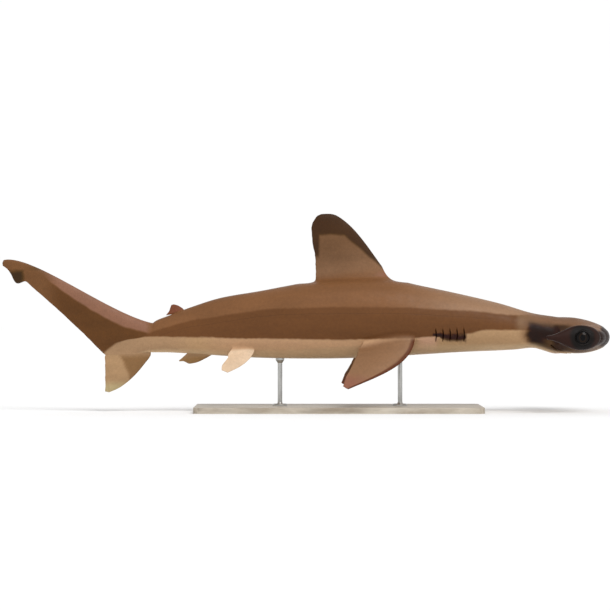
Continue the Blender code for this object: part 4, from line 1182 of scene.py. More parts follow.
def refined_relief(obj):
    """Refines the skin where it has fine forms, and returns how far out each point is to be moved."""
    refine_markings(obj)
    mouth = mouth_line(coordinates(obj.data))
    refine_near(obj, mouth, MOUTH_PASSES)
    for side in (-1, 1):
        refine_near(obj, gill_line(side), GILL_PASSES, rounds=0)
        refine_near(obj, nostril_line(side), NOSTRIL_PASSES)
    refine_near(obj, vent_line(), VENT_PASSES)
    places = coordinates(obj.data)
    return mouth_relief(places, mouth) + nostril_relief(places) + vent_relief(places)


def fin_share(fields):
    """Share of a fin at each point: 0 on the trunk and the head."""
    return np.clip(sum(fields[name] for name in FIN_FIELDS), 0, 1)


def wavy_edges(mesh):
    """Coordinates of the skin with slightly uneven rear edges of the fins."""
    places = coordinates(mesh)
    fields = {name: field(mesh, name) for name in FIELDS}
    rear = fin_share(fields) * ramp(fields["chord"], *WAVY_CHORD) * ramp(fields["rise"], *WAVY_RISE)
    places[:, 0] += rear * (wobbles(places * WAVY_SCALE, "edges") + WAVY_SHIFT)
    return places


# Colours as seen, in red, green and blue from 0 to 255.
BACK = (132, 92, 62)
BACK_FRONT = (163, 128, 100)
FLANK = (112, 75, 48)
NECK = (136, 105, 78)
BELLY = (186, 150, 112)
BELLY_MIDDLE = (199, 158, 122)
BELLY_FLUSH = (206, 163, 134)
STALK_BELLY = (172, 138, 105)
THROAT = (186, 152, 116)
CREAM = (222, 191, 152)
LIP = (204, 160, 134)
HEAD_TOP = (134, 100, 76)
# The next two colours are painted shade on the hammer's sides, ends and front.
HEAD_SIDE_SHADE = (56, 39, 24)
HEAD_FRONT_SHADE = (50, 34, 14)
# The next two colours are painted shade: a dark band where the head begins, and a softer shade on the sides
# of the neck.
NECK_SHADOW_BAND = (48, 31, 16)
NECK_SHADE = (112, 76, 54)
# Partly the darker edges of the head's underside, partly painted shade on its sloping sides.
UNDER_DUSK_AND_SHADE = (106, 80, 57)
FIN_DARK = (74, 52, 30)
DORSAL_LOW = (152, 115, 86)
DORSAL_FOOT = (152, 100, 78)
DORSAL_HIGH = (119, 87, 62)
PECTORAL = (147, 110, 81)
PECTORAL_TIP = (148, 100, 80)
PECTORAL_EDGE = (100, 58, 36)
PELVIC = (232, 202, 170)
ANAL = (156, 120, 80)
SECOND = (134, 82, 60)
TAIL_LEAD = (146, 105, 84)
TAIL_WEB = (103, 69, 42)
TAIL_TIP = (122, 85, 56)
TAIL_DARK = (68, 51, 24)
LOWER_FRONT_PAINT = (140, 106, 72)
LOWER_REAR_PAINT = (180, 145, 108)
LOWER_TIP_PAINT = (190, 170, 128)
# Painted shade in the gill slits, on the patch across them, and in the mouth, nostrils and vent.
RECESS_SHADE = (44, 19, 9)
EYE_RING = (28, 17, 13)
# What the studio adds to every colour, and what it makes of the rest.
SHEEN = 0.014
DARKEST = 0.30
LIGHT = 1.22

# Lines along the body where the back, the flank and the belly meet: place, height.
BACK_TO_FLANK = (
    (-0.470, 0.236), (-0.360, 0.270), (-0.285, 0.281), (-0.210, 0.293), (-0.120, 0.306),
    (0.000, 0.312), (0.300, 0.313), (0.450, 0.304), (0.540, 0.299), (0.640, 0.288),
)
FLANK_TO_BELLY = (
    (-0.500, 0.223), (-0.320, 0.223), (-0.170, 0.219), (0.000, 0.2165), (0.290, 0.2195),
    (0.420, 0.228), (0.500, 0.236), (0.530, 0.2445), (0.660, 0.2455),
)
# Lines on the tail: height of the lower border of the bright band along the leading edge,
# how far forward the dark web reaches at each height, and the same for the lower lobe's pale rear.
TAIL_BAND_LINE = (
    (-0.910, 0.470), (-0.800, 0.418), (-0.747, 0.377), (-0.693, 0.338), (-0.660, 0.317),
    (-0.591, 0.278), (-0.531, 0.251), (-0.465, 0.236),
)
TAIL_WEB_END = (
    (0.170, -0.606), (0.180, -0.598), (0.195, -0.580), (0.208, -0.560), (0.216, -0.530),
    (0.223, -0.490), (0.240, -0.470), (0.260, -0.460),
)
LOWER_LOBE_LINE = ((0.050, -0.520), (0.110, -0.528), (0.173, -0.558), (0.185, -0.565))
# The dorsal fin's dark cap: its front lower corner, how its border runs forward and down from
# there and which way that border faces, and where the dark rear border lies and ends.
DARK_CAP_CORNER = (0.117, 0.530)
DARK_CAP_FRONT = (0.121, 0.1045)
DARK_CAP_WAY = (0.653, 0.757)
DARK_TRAIL_X = 0.042
DARK_TRAIL_END = 0.464
DARK_TRAIL_SLOPE = 0.6
# The patch of painted shade across the gill slits: its ends, and its middle and half height along them.
GILL_SHADE_REAR = 0.379
GILL_SHADE_FRONT = 0.480
GILL_SHADE_LEVEL = ((0.375, 0.2300), (0.400, 0.2300), (0.425, 0.2235), (0.480, 0.2230))
GILL_SHADE_HEIGHT = ((0.375, 0.0045), (0.400, 0.0065), (0.425, 0.0115), (0.480, 0.0120))
GILL_SHADE_EDGE = 0.008
SLIT_SHADE_AHEAD = 0.0008
SLIT_SHADE_WIDTH = (0.0003, 0.0013)
# The dark corner at the tail's notch: its front, its top, and its border's depth and width.
TAIL_CORNER = (-0.841, 0.427)
TAIL_CORNER_EDGE = (0.004, 0.018)

# Soft borders along the body, each with the place of its middle and its width.
BODY_EDGE = 0.008
CHEST_START = (0.40, 0.36)
STALK_START = (0.36, 0.10)
NECK_COLOUR_START = (0.634, 0.022)
# Spans with a soft border at each end: both places, then both widths.
FLUSH_SPAN = (0.335, 0.392, 0.03, 0.03)
MIDDLE_SPAN = (-0.27, 0.31, 0.12, 0.14)
SENSOR_SPAN = (-0.43, 0.56, 0.08, 0.08)
FOLD_SPAN = (0.735, 0.795, 0.03, 0.05)
# Borders on the head, by place along and out, and by how far the skin faces up or sideways.
HAMMER_FRONT = (0.868, 0.04)
HAMMER_END = (0.212, 0.03)
OUTER_FACE = (0.2285, 0.014)
TOP_TILT = (0.52, 0.46)
EDGE_TOP_TILT = (0.88, 0.26)
TOP_START = (0.675, 0.09)
SIDE_TILT = (0.42, 0.34)
HEAD_LINE_X = 0.655
HEAD_LINE_LEAN = 0.20
HEAD_LINE_AHEAD = (0.006, 0.020)
NECK_SHADE_AHEAD = (-0.010, 0.046)
NECK_SHADE_LEVEL = 0.232
NECK_SHADE_FOOT = ((0.640, 0.218), (0.665, 0.205), (0.700, 0.193), (0.740, 0.182), (0.800, 0.170))
NECK_SHADE_EDGE = 0.024
UNDER_FRONT = (0.790, 0.03)
UNDER_END = (0.190, 0.03)
UNDER_TILT = (0.35, 0.26)
OUTER_UNDER_TILT = (0.82, 0.26)
UNDER_LIMIT = (-0.205, 0.020)
LOWER_TILT = (0.30, 0.3)
LOWER_START = (0.722, 0.05)
LEAN_TILT = (0.16, 0.14)
LEAN_OUT = (0.036, 0.024)
PALE_LIMIT = (-0.072, 0.060)
FOLD_REAR_TILT = (0.02, 0.12)
FOLD_SIDE_TILT = (0.37, 0.40)
FOLD_TOP = (-0.2600, 0.013)
FRONT_TILT = (0.35, 0.4)
FRONT_START = (0.85, 0.03)
EYE_RING_EDGE = (0.006, 0.014)
EYE_RING_OUT = (0.226, 0.012)
# Borders on the fins, by place along, height, or share of the fin's height.
FRESH_RISE = (0.13, 0.24)
HIGH_RISE = (0.30, 0.5)
FOOT_FRONT = (0.215, 0.05)
FOOT_FRONT_LEVEL = 0.40
FOOT_TOP = (-0.45, 0.05)
TIP_RISE = (0.80, 0.3)
PECTORAL_EDGE_CHORD = ((0, 0.3, 0.9, 1.0), (0.055, 0.085, 0.12, 0.16))
TAIL_START = (0.470, 0.02)
TAIL_TIP_START = (0.76, 0.07)
LOWER_LOBE_TOP = 0.168
LOWER_TIP_START = (-0.085, 0.03)
# Borders of the cream along the underside's middle, and of its fading towards the head.
CREAM_TILT = (0.72, 0.5)
CREAM_LEVEL = 0.214
CREAM_HEAD = (0.70, 0.06)
CREAM_OUT = (0.09, 0.07)
CREAM_FADE = (0.72, 0.16)
LIP_RELIEF = (0.0006, 0.0016)
LIP_FRONT = 0.81
HOLLOW_RELIEF = (0.0008, 0.003)
PORE_REAR = 0.70
MARKING_REACH = 0.011
# Lateral line: how far below the back's colour it runs along the upper flank.
SENSOR_LINE_DROP = 0.016
SENSOR_LINE_HALF = 0.0011
# Shares of the paints that let the colour under them show through.
NECK_SHADE_SHARE = 0.75
FOLD_SHARE = 0.9
EYE_RING_SHARE = 0.94
DORSAL_FOOT_SHARE = 0.8
SLIT_SHARE = 0.88
GILL_SHADE_SHARE = 0.96
LIP_SHARE = 0.5
HOLLOW_SHARE = 0.9
CREAM_SHARES = (0.75, 0.30)
# Soft borders across the fields and the fins: middle and width, or width alone.
HAMMER_EDGE = (5 / 12, 5 / 6)
PORE_EDGE = (0.6, 2 / 3)
PELVIC_EDGE = (0.5, 0.5)
WEB_EDGE = (1 / 6, 1 / 3)
LOWER_EDGE = (0.25, 0.5)
SLIT_END_EDGE = (13 / 30, 2 / 3)
FIN_MARKS_EDGE = (0.12, 0.2)
DARK_CAP_EDGE = (0.0, 0.010)
TAIL_WEB_EDGE = (0.0, 0.014)
LOWER_FRONT_EDGE = (0.0, 0.026)
LOWER_REAR_EDGE = (0.0, 0.012)
PECTORAL_EDGE_WIDTH = 0.05
TAIL_BAND_WIDTH = 0.009
CREAM_WIDTH = 0.02
LIP_WIDTH = 0.01
PORE_WIDTH = 0.05
# Waviness of the fins' rear edges: where it begins, its scale by axis, and its middle.
WAVY_CHORD = (0.845, 0.25)
WAVY_RISE = (0.14, 0.2)
WAVY_SCALE = (0.3, 0.0, 1.0)
WAVY_SHIFT = 0.0006
LINE_PLACES = 240
SEED_SHIFT = (7.3, 3.1, 5.7)
# Uneven borders: size, amount and seed of each layer of smooth random values.
WAVES = {
    "body": ((0.09, 0.003, 1), (0.012, 0.0015, 4)),
    "head": ((0.035, 0.004, 2), (0.010, 0.0015, 5)),
    "fins": ((0.03, 0.05, 3),),
    "gills": ((0.012, 0.003, 8), (0.004, 0.0012, 9)),
    "edges": ((0.009, 0.0011, 6), (0.024, 0.0018, 7)),
}


def linear(colour):
    """Linear light values of a colour given from 0 to 255."""
    shares = [value / 255 for value in colour]
    return np.array([s / 12.92 if s <= 0.04045 else ((s + 0.055) / 1.055) ** 2.4 for s in shares])


def ramp(value, middle, width):
    """Soft rise from 0 to 1 over a width on both sides of its middle."""
    return smooth_step((value - middle) / width + 0.5)


def between(value, low, high, rise, fall):
    """1 between two places, with a soft border at each."""
    return ramp(value, low, rise) * ramp(-value, -high, fall)


def line_at(table, places):
    """Smooth value of a table at each of many places."""
    grid = np.linspace(table[0][0], table[-1][0], LINE_PLACES)
    return np.interp(places, grid, [value_at(table, place) for place in grid])


def wobble(places, size, amount, seed):
    """Smooth random values, the same each run."""
    shift = Vector([seed * part for part in SEED_SHIFT])
    return np.array([noise.noise(Vector(p) / size + shift) for p in places]) * amount


def wobbles(places, name):
    """Uneven borders' waves; a factor beside them says how far they move a border."""
    return sum(wobble(places, *layer) for layer in WAVES[name])


class Coat:
    """Colours of the skin's points, laid over one another, and what they go by."""

    def __init__(self, mesh, colour):
        self.places = coordinates(mesh)
        self.x, y, self.z = self.places.T
        self.out = np.abs(y)
        self.ahead, aside, self.up = vertex_normals(mesh).T
        self.aside = np.abs(aside)
        self.fields = {name: field(mesh, name) for name in FIELDS}
        self.colours = np.tile(linear(colour), (len(self.places), 1))

    def lay(self, colour, amount):
        share = np.clip(amount, 0, 1)[:, None]
        self.colours = self.colours * (1 - share) + linear(colour) * share


def paint_body(coat):
    x, z = coat.x, coat.z
    wave = wobbles(coat.places, "body")
    back = ramp(z + wave, line_at(BACK_TO_FLANK, x), BODY_EDGE)
    belly = 1 - ramp(z + wave, line_at(FLANK_TO_BELLY, x), BODY_EDGE)
    coat.lay(BACK, back)
    coat.lay(BACK_FRONT, back * ramp(x, *CHEST_START))
    coat.lay(BELLY, belly)
    coat.lay(STALK_BELLY, belly * ramp(-x, *STALK_START))
    coat.lay(BELLY_FLUSH, belly * between(x, *FLUSH_SPAN))
    coat.lay(BELLY_MIDDLE, belly * between(x, *MIDDLE_SPAN))
    coat.lay(NECK, ramp(x + 2 * wave, *NECK_COLOUR_START) * (1 - belly) * (1 - back))


def head_top(coat, wave):
    """Share of the head's skin that faces up."""
    edge = np.maximum(ramp(coat.x, *HAMMER_FRONT), ramp(coat.out, *HAMMER_END))
    above = ramp(coat.up + wave * 12, *mix_points(TOP_TILT, EDGE_TOP_TILT, edge))
    return above * (1 - ramp(coat.out + wave, *OUTER_FACE))


def leaning_share(coat, wave=0.0):
    """Share of the sloping sides of the head's underside, beside its flat middle."""
    return ramp(coat.aside + wave, *LEAN_TILT) * ramp(coat.out, *LEAN_OUT)


def paint_neck(coat, above, wave):
    """Painted shade on the sides of the neck, and a darker painted shadow band where the head begins."""
    shift, width = NECK_SHADE_AHEAD
    line_shift, line_width = HEAD_LINE_AHEAD
    x = coat.x + 2 * wave
    side = (1 - above) * ramp(coat.z + 1.5 * wave, line_at(NECK_SHADE_FOOT, coat.x), NECK_SHADE_EDGE)
    side *= ramp(np.hypot(coat.ahead, coat.aside), *SIDE_TILT)
    start = HEAD_LINE_X + HEAD_LINE_LEAN * np.abs(coat.z - NECK_SHADE_LEVEL)
    # Painted shade on the neck's sides, then the darker painted shadow band where the head begins.
    coat.lay(NECK_SHADE, NECK_SHADE_SHARE * side * ramp(x, start + shift, width))
    coat.lay(NECK_SHADOW_BAND, side * ramp(x, start + line_shift, line_width))


def paint_underside(coat, hammer_share, wave):
    """Underside of the head with a pale middle, darker towards its edges and on its sloping sides: partly
    the skin's own darker edges, partly painted shade. Returns the share that faces down.
    """
    outer = np.maximum(ramp(coat.x, *UNDER_FRONT), ramp(coat.out, *UNDER_END))
    limit = ramp(wave - coat.out, *UNDER_LIMIT)
    under = limit * ramp(wave * 10 - coat.up, *mix_points(UNDER_TILT, OUTER_UNDER_TILT, outer))
    lower = limit * ramp(-coat.up, *LOWER_TILT) * ramp(coat.x, *LOWER_START)
    leaning = leaning_share(coat, wave)
    # Darker edges of the underside, partly the skin's own, and painted shade on its sloping sides.
    coat.lay(UNDER_DUSK_AND_SHADE, np.maximum(hammer_share * under, lower * leaning))
    coat.lay(THROAT, hammer_share * under * ramp(3 * wave - coat.out, *PALE_LIMIT) * (1 - leaning))
    return under


def paint_head(coat):
    """Head: brown on top, painted shade on the hammer's sides, ends and front and in the fold behind it,
    pale in the middle of the underside.
    """
    hammer_share = ramp(coat.fields["hammer"], *HAMMER_EDGE)
    wave = wobbles(coat.places, "head")
    above = head_top(coat, wave)
    coat.lay(HEAD_TOP, np.maximum(hammer_share, ramp(coat.x, *TOP_START) * above))
    paint_neck(coat, above, wave)
    under = paint_underside(coat, hammer_share, wave)
    # Skin of the hammer that faces neither up nor down is painted dark: painted shade on its sides and
    # ends.
    side = (1 - above) * (1 - under)
    coat.lay(HEAD_SIDE_SHADE, hammer_share * side)
    # Painted shade in the fold where the hammer's rear edge meets the neck.
    fold = ramp(-coat.ahead, *FOLD_REAR_TILT) * ramp(coat.aside, *FOLD_SIDE_TILT)
    fold *= between(coat.x, *FOLD_SPAN) * ramp(wave - coat.z, *FOLD_TOP)
    coat.lay(HEAD_SIDE_SHADE, FOLD_SHARE * fold)
    # Painted shade, darker still, on the hammer's sides that face forward.
    coat.lay(HEAD_FRONT_SHADE, side * ramp(coat.ahead, *FRONT_TILT) * ramp(coat.x, *FRONT_START))
    centre, radius = eye_ball()
    past, width = EYE_RING_EDGE
    away = np.hypot(coat.x - centre.x, coat.z - centre.z)
    ring = (1 - ramp(away + wave, radius + past, width)) * ramp(coat.out, *EYE_RING_OUT)
    coat.lay(EYE_RING, EYE_RING_SHARE * ring)


def paint_dorsal(coat, wave):
    """Dorsal fin with its dark tip, and dark borders that run down both edges."""
    x, z, rise, dorsal = coat.x, coat.z, coat.fields["rise"], coat.fields["dorsal"]
    coat.lay(DORSAL_LOW, dorsal * ramp(rise, *FRESH_RISE))
    foot = ramp(x - (z - FOOT_FRONT_LEVEL), *FOOT_FRONT) * ramp(-z, *FOOT_TOP)
    coat.lay(DORSAL_FOOT, DORSAL_FOOT_SHARE * dorsal * foot)
    coat.lay(DORSAL_HIGH, dorsal * ramp(rise + wave, *HIGH_RISE))
    corner_x, corner_z = DARK_CAP_CORNER
    way_x, way_z = DARK_CAP_WAY
    lead = (x - corner_x) * way_x + (z - corner_z) * way_z
    trail = np.minimum(DARK_TRAIL_X - x, (z - DARK_TRAIL_END) * DARK_TRAIL_SLOPE)
    dark = np.maximum.reduce((lead, trail, z - corner_z)) + wave * 0.05
    coat.lay(FIN_DARK, dorsal * ramp(dark, *DARK_CAP_EDGE))


def paint_small_fins(coat, wave):
    """Pectoral, pelvic, anal and second dorsal fins."""
    fields = coat.fields
    rise, pectoral = fields["rise"], fields["pectoral"]
    coat.lay(PECTORAL, pectoral)
    coat.lay(PECTORAL_TIP, pectoral * ramp(rise + wave, *TIP_RISE))
    edge = np.interp(rise, *PECTORAL_EDGE_CHORD) + wave * 0.2
    coat.lay(PECTORAL_EDGE, pectoral * ramp(edge, fields["chord"], PECTORAL_EDGE_WIDTH))
    coat.lay(PELVIC, ramp(fields["pelvic"], *PELVIC_EDGE))
    coat.lay(ANAL, fields["anal"])
    coat.lay(SECOND, fields["second"])


def paint_tail(coat, wave):
    """Upper lobe with its bright front, dark web and dark corner, and the paler lower lobe."""
    x, z, fields = coat.x, coat.z, coat.fields
    band = ramp(z + wave * 0.06, line_at(TAIL_BAND_LINE, x), TAIL_BAND_WIDTH)
    coat.lay(TAIL_LEAD, ramp(-x, *TAIL_START) * band)
    web = ramp(line_at(TAIL_WEB_END, z) - x + wave * 0.10, *TAIL_WEB_EDGE)
    coat.lay(TAIL_WEB, web * (1 - band) * (1 - ramp(fields["lower"], *WEB_EDGE)))
    tip = fields["upper"] * ramp(-x, *TAIL_TIP_START)
    coat.lay(TAIL_TIP, tip)
    behind, below = TAIL_CORNER[0] - x, TAIL_CORNER[1] - z
    outside = -np.hypot(np.clip(below, 0, None), np.clip(behind, 0, None))
    corner = np.where((below > 0) & (behind > 0), np.minimum(below, behind), outside)
    coat.lay(TAIL_DARK, tip * ramp(corner + wave * 0.1, *TAIL_CORNER_EDGE))
    lower = ramp(fields["lower"], *LOWER_EDGE)
    coat.lay(STALK_BELLY, lower)
    coat.lay(LOWER_FRONT_PAINT, lower * ramp(LOWER_LOBE_TOP - z + wave * 0.1, *LOWER_FRONT_EDGE))
    rear = ramp(line_at(LOWER_LOBE_LINE, z) - x + wave * 0.06, *LOWER_REAR_EDGE)
    coat.lay(LOWER_REAR_PAINT, lower * rear)
    coat.lay(LOWER_TIP_PAINT, lower * ramp(-z, *LOWER_TIP_START))


def slit_shade(coat):
    """Share of painted shade inside the gill slits, and of the patch of painted shade that runs across
    them.
    """
    x, z = coat.x, coat.z
    t = (z - SLIT_LEVEL) / SLIT_HALF_HEIGHT
    inside = np.sqrt(np.clip(1 - t * t, 0, 1))
    least, more = SLIT_SHADE_WIDTH
    shade = np.zeros(len(x))
    for slit in range(SLIT_COUNT):
        edge = FIRST_SLIT_X - SLIT_SPACING * slit + SLIT_BOW * bell(t, 1) - SLIT_SHADE_AHEAD
        shade = np.maximum(shade, bell(x - edge, least + more * inside))
    height = np.interp(x, *zip(*GILL_SHADE_HEIGHT))
    level = np.interp(x, *zip(*GILL_SHADE_LEVEL))
    wave = wobbles(coat.places, "gills")
    gill_shade = ramp(x + wave, GILL_SHADE_REAR, GILL_SHADE_EDGE) * ramp(wave - x, -GILL_SHADE_FRONT, GILL_SHADE_EDGE)
    gill_shade *= np.exp(-(((z + wave - level) / height) ** 4))
    shade *= ramp(inside, *SLIT_END_EDGE)
    return np.maximum(SLIT_SHARE * shade, GILL_SHADE_SHARE * gill_shade)


def paint_hollows(coat, relief, wave):
    """Cream along the underside's middle, the lips, and painted shade in the slits, across the gill patch
    and in the hollows.
    """
    x, fields = coat.x, coat.fields
    under = ramp(wave - coat.up, *CREAM_TILT) * smooth_step((CREAM_LEVEL - coat.z) / CREAM_WIDTH)
    middle = 1 - ramp(x, *CREAM_HEAD) * np.maximum(ramp(coat.out, *CREAM_OUT), leaning_share(coat))
    body = 1 - fin_share(fields)
    coat.lay(CREAM, under * body * middle * mix(*CREAM_SHARES, ramp(x, *CREAM_FADE)))
    # Painted shade in the gill slits and on the patch across them.
    coat.lay(RECESS_SHADE, slit_shade(coat))
    start, rise = LIP_RELIEF
    lips = smooth_step((relief - start) / rise) * smooth_step((LIP_FRONT - x) / LIP_WIDTH)
    coat.lay(LIP, LIP_SHARE * lips * middle)
    # Painted shade in the hollows: the mouth's gap, the nostrils and the vent.
    start, rise = HOLLOW_RELIEF
    coat.lay(RECESS_SHADE, HOLLOW_SHARE * smooth_step((-relief - start) / rise))


def paint(obj, relief):
    """Writes the painted colour of each point of the skin, and where its fine marks are."""
    mesh = obj.data
    coat = Coat(mesh, FLANK)
    wave = wobbles(coat.places, "fins")
    paint_body(coat)
    paint_head(coat)
    paint_dorsal(coat, wave)
    paint_small_fins(coat, wave)
    paint_tail(coat, wave)
    paint_hollows(coat, relief, wave)
    layer = mesh.attributes.new("paint", "FLOAT_COLOR", "POINT")
    values = np.ones((len(coat.places), 4), np.float32)
    values[:, :3] = np.maximum(coat.colours - SHEEN, coat.colours * DARKEST) / LIGHT
    layer.data.foreach_set("color", values.ravel())
    x, fin = coat.x, fin_share(coat.fields)
    pores = ramp(coat.fields["hammer"], *PORE_EDGE) * smooth_step((x - PORE_REAR) / PORE_WIDTH)
    add_field(mesh, "fin", fin * ramp(coat.fields["rise"], *FIN_MARKS_EDGE))
    add_field(mesh, "pores", pores)
    add_field(mesh, "sensor_height", coat.z - line_at(BACK_TO_FLANK, x) + SENSOR_LINE_DROP)
    add_field(mesh, "sensor_share", (1 - fin) * between(x, *SENSOR_SPAN))


# The part of a noise's range that most of its values lie in.
NOISE_SPAN = (0.3, 0.7)
# Stretch of patterns that are the same all ways, drawn out along the body, or only along it.
ALL_WAYS = (1, 1, 1)
ALONG = (0.25, 1, 1)
LENGTHWISE = (1, 0, 0)
SCALE_STRETCH = (0.6, 1, 1)
# How fine the skin's patterns are: how many to a metre.
BLOTCHES = 16
MOTTLES = 120
GRAINS = 620
PORES = 210
SCALES = 900
CREASES = 70
SHINE_PATCHES = 45
DRIFTS = 22
BREAKS = 260
RAYS = 260.0
# How bright the skin is across each pattern, and how dark a pore and the flank's line make it.
BLOTCH_RANGE = (0.90, 1.10)
MOTTLE_RANGE = (0.94, 1.06)
GRAIN_RANGE = (0.93, 1.07)
PORE_SHADE = 0.72
LINE_SHADE = 0.80
PORE_REACH = (0.08, 0.22)
# The flank's line: how far it drifts, the full part of its width, and how its breaks fade it.
DRIFT_HEIGHT = 0.006
LINE_CORE = 0.3
BREAK_RANGE = (0.45, 1.0, 0.35, 0.5)
# Weight of each pattern in the skin's bump, and the bump's strength and depth.
SCALE_HEIGHT = 0.16
RAY_HEIGHT = 0.12
CREASE_HEIGHT = 0.9
PORE_HEIGHT = -0.25
LINE_HEIGHT = -0.45
SKIN_BUMP = (0.55, 0.0012)
SKIN_ROUGHNESS = (0.38, 0.54)
SKIN_SHEEN = 0.16


def fill(tree, socket, value):
    """Gives an input a value, or joins it to another node's output."""
    if isinstance(value, bpy.types.NodeSocket):
        tree.links.new(value, socket)
    else:
        socket.default_value = value


def node(tree, kind, inputs, **settings):
    """New node with its inputs, by name or number, and its settings."""
    made = tree.nodes.new("ShaderNode" + kind)
    for name, value in settings.items():
        setattr(made, name, value)
    for name, value in inputs.items():
        fill(tree, made.inputs[name], value)
    return made


def maths(tree, operation, first, second=0.0):
    return node(tree, "Math", {0: first, 1: second}, operation=operation).outputs[0]


def product(tree, *values):
    return functools.reduce(lambda first, second: maths(tree, "MULTIPLY", first, second), values)


def total(tree, *terms):
    """Sum of terms, each an output and its weight."""
    weighed = [maths(tree, "MULTIPLY", value, weight) for value, weight in terms]
    return functools.reduce(lambda first, second: maths(tree, "ADD", first, second), weighed)


def stretched(tree, scale):
    """Place on the object, stretched by a scale along each axis."""
    place = node(tree, "TexCoord", {}).outputs["Object"]
    return node(tree, "Mapping", {"Vector": place, "Scale": scale}).outputs["Vector"]


def noise_at(tree, stretch, scale, detail=2.0, rough=0.5):
    inputs = {"Vector": stretched(tree, stretch), "Scale": scale, "Detail": detail, "Roughness": rough}
    return node(tree, "TexNoise", inputs).outputs["Fac"]


def cells_at(tree, stretch, scale):
    """Distance to the middle of the nearest of many random cells."""
    inputs = {"Vector": stretched(tree, stretch), "Scale": scale}
    return node(tree, "TexVoronoi", inputs).outputs["Distance"]


def attribute(tree, name, output="Fac"):
    return node(tree, "Attribute", {}, attribute_name=name).outputs[output]


def ranged(tree, value, low, high, start=0.0, end=1.0):
    """Value from low to high, as another value goes from start to end."""
    inputs = {"Value": value, "From Min": start, "From Max": end, "To Min": low, "To Max": high}
    return node(tree, "MapRange", inputs).outputs["Result"]


def shaded(tree, value, stops):
    """Colour that changes with a value through stops, each a place from 0 to 1 and a colour."""
    made = node(tree, "ValToRGB", {"Fac": value})
    elements = made.color_ramp.elements
    elements.remove(elements[1])
    for index, (place, colour) in enumerate(stops):
        stop = elements.new(place) if index else elements[0]
        stop.position = place
        stop.color = (*linear(colour), 1.0)
    return made.outputs["Color"]


def scaled_colour(tree, colour, factor):
    return node(tree, "VectorMath", {0: colour, "Scale": factor}, operation="SCALE").outputs[0]


def bump(tree, height, strength, distance):
    inputs = {"Strength": strength, "Distance": distance, "Height": height}
    return node(tree, "Bump", inputs).outputs["Normal"]


def new_material(name):
    look = bpy.data.materials.new(name)
    look.use_nodes = True
    return look, look.node_tree


def finish_material(look, inputs):
    """Gives the material's shader its inputs."""
    shader = look.node_tree.nodes["Principled BSDF"]
    for name, value in inputs.items():
        fill(look.node_tree, shader.inputs[name], value)
    return look


def sensor_line(tree):
    """Thin, slightly broken line along the flank: 1 in its middle, 0 beside it."""
    drift = maths(tree, "MULTIPLY", noise_at(tree, LENGTHWISE, DRIFTS), DRIFT_HEIGHT)
    height = maths(tree, "ADD", attribute(tree, "sensor_height"), drift)
    away = maths(tree, "ABSOLUTE", height)
    line = ranged(tree, away, 1.0, 0.0, SENSOR_LINE_HALF * LINE_CORE, SENSOR_LINE_HALF)
    breaks = ranged(tree, noise_at(tree, LENGTHWISE, BREAKS, 1.0), *BREAK_RANGE)
    return product(tree, line, breaks, attribute(tree, "sensor_share"))


def skin_material():
    """Painted skin with blotches, fine grain, pores on the head and tooth-like scales."""
    look, tree = new_material("shark_skin")
    broad = ranged(tree, noise_at(tree, ALONG, BLOTCHES, 3.0, 0.55), *BLOTCH_RANGE, *NOISE_SPAN)
    small = ranged(tree, noise_at(tree, ALL_WAYS, MOTTLES, 2.0, 0.6), *MOTTLE_RANGE, *NOISE_SPAN)
    fine = ranged(tree, noise_at(tree, ALL_WAYS, GRAINS, 1.0), *GRAIN_RANGE, *NOISE_SPAN)
    dots = ranged(tree, cells_at(tree, ALL_WAYS, PORES), 1.0, 0.0, *PORE_REACH)
    pores = product(tree, dots, attribute(tree, "pores"))
    line = sensor_line(tree)
    marks = product(tree, ranged(tree, pores, 1.0, PORE_SHADE), ranged(tree, line, 1.0, LINE_SHADE))
    factor = product(tree, broad, small, fine, marks)

    scales = cells_at(tree, SCALE_STRETCH, SCALES)
    stripes = maths(tree, "SINE", maths(tree, "MULTIPLY", attribute(tree, "ray"), RAYS))
    rays = product(tree, stripes, attribute(tree, "fin"))
    creases = noise_at(tree, ALONG, CREASES, 4.0, 0.6)
    skin = (scales, SCALE_HEIGHT), (rays, RAY_HEIGHT), (creases, CREASE_HEIGHT)
    height = total(tree, *skin, (pores, PORE_HEIGHT), (line, LINE_HEIGHT))
    shine = noise_at(tree, ALL_WAYS, SHINE_PATCHES, 3.0)
    return finish_material(look, {
        "Base Color": scaled_colour(tree, attribute(tree, "paint", "Color"), factor),
        "Roughness": ranged(tree, shine, *SKIN_ROUGHNESS, *NOISE_SPAN),
        "Specular IOR Level": SKIN_SHEEN,
        "Normal": bump(tree, height, *SKIN_BUMP),
    })


def shark_skin():
    """The skin, from its cage to its finish."""
    obj = cage_object()
    smooth_from_cage(obj)
    soften_joins(obj)
    relief = refined_relief(obj)
    paint(obj, relief)
    mesh = obj.data
    set_coordinates(mesh, coordinates(mesh) + vertex_normals(mesh) * relief[:, None])
    set_coordinates(mesh, inside_cad_box(wavy_edges(mesh)))
    mesh.materials.clear()
    mesh.materials.append(skin_material())
    mesh.shade_smooth()
    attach(obj, "root")
    flesh = [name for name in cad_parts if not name.startswith(("stand_", "eye_"))]
    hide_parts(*flesh)


# Eye: rings of colour about the sideways axis of the ball, out to the last one's reach.
PUPIL = 0.0088
IRIS = 0.0150
EYE_REACH = 0.020
EYE_STOPS = (
    (0.0, (3, 3, 4)),
    (PUPIL, (4, 3, 4)),
    (PUPIL + 0.0011, (34, 22, 12)),
    ((PUPIL + IRIS) / 2, (27, 17, 10)),
    (IRIS, (9, 6, 5)),
    (EYE_REACH, (6, 5, 6)),
)


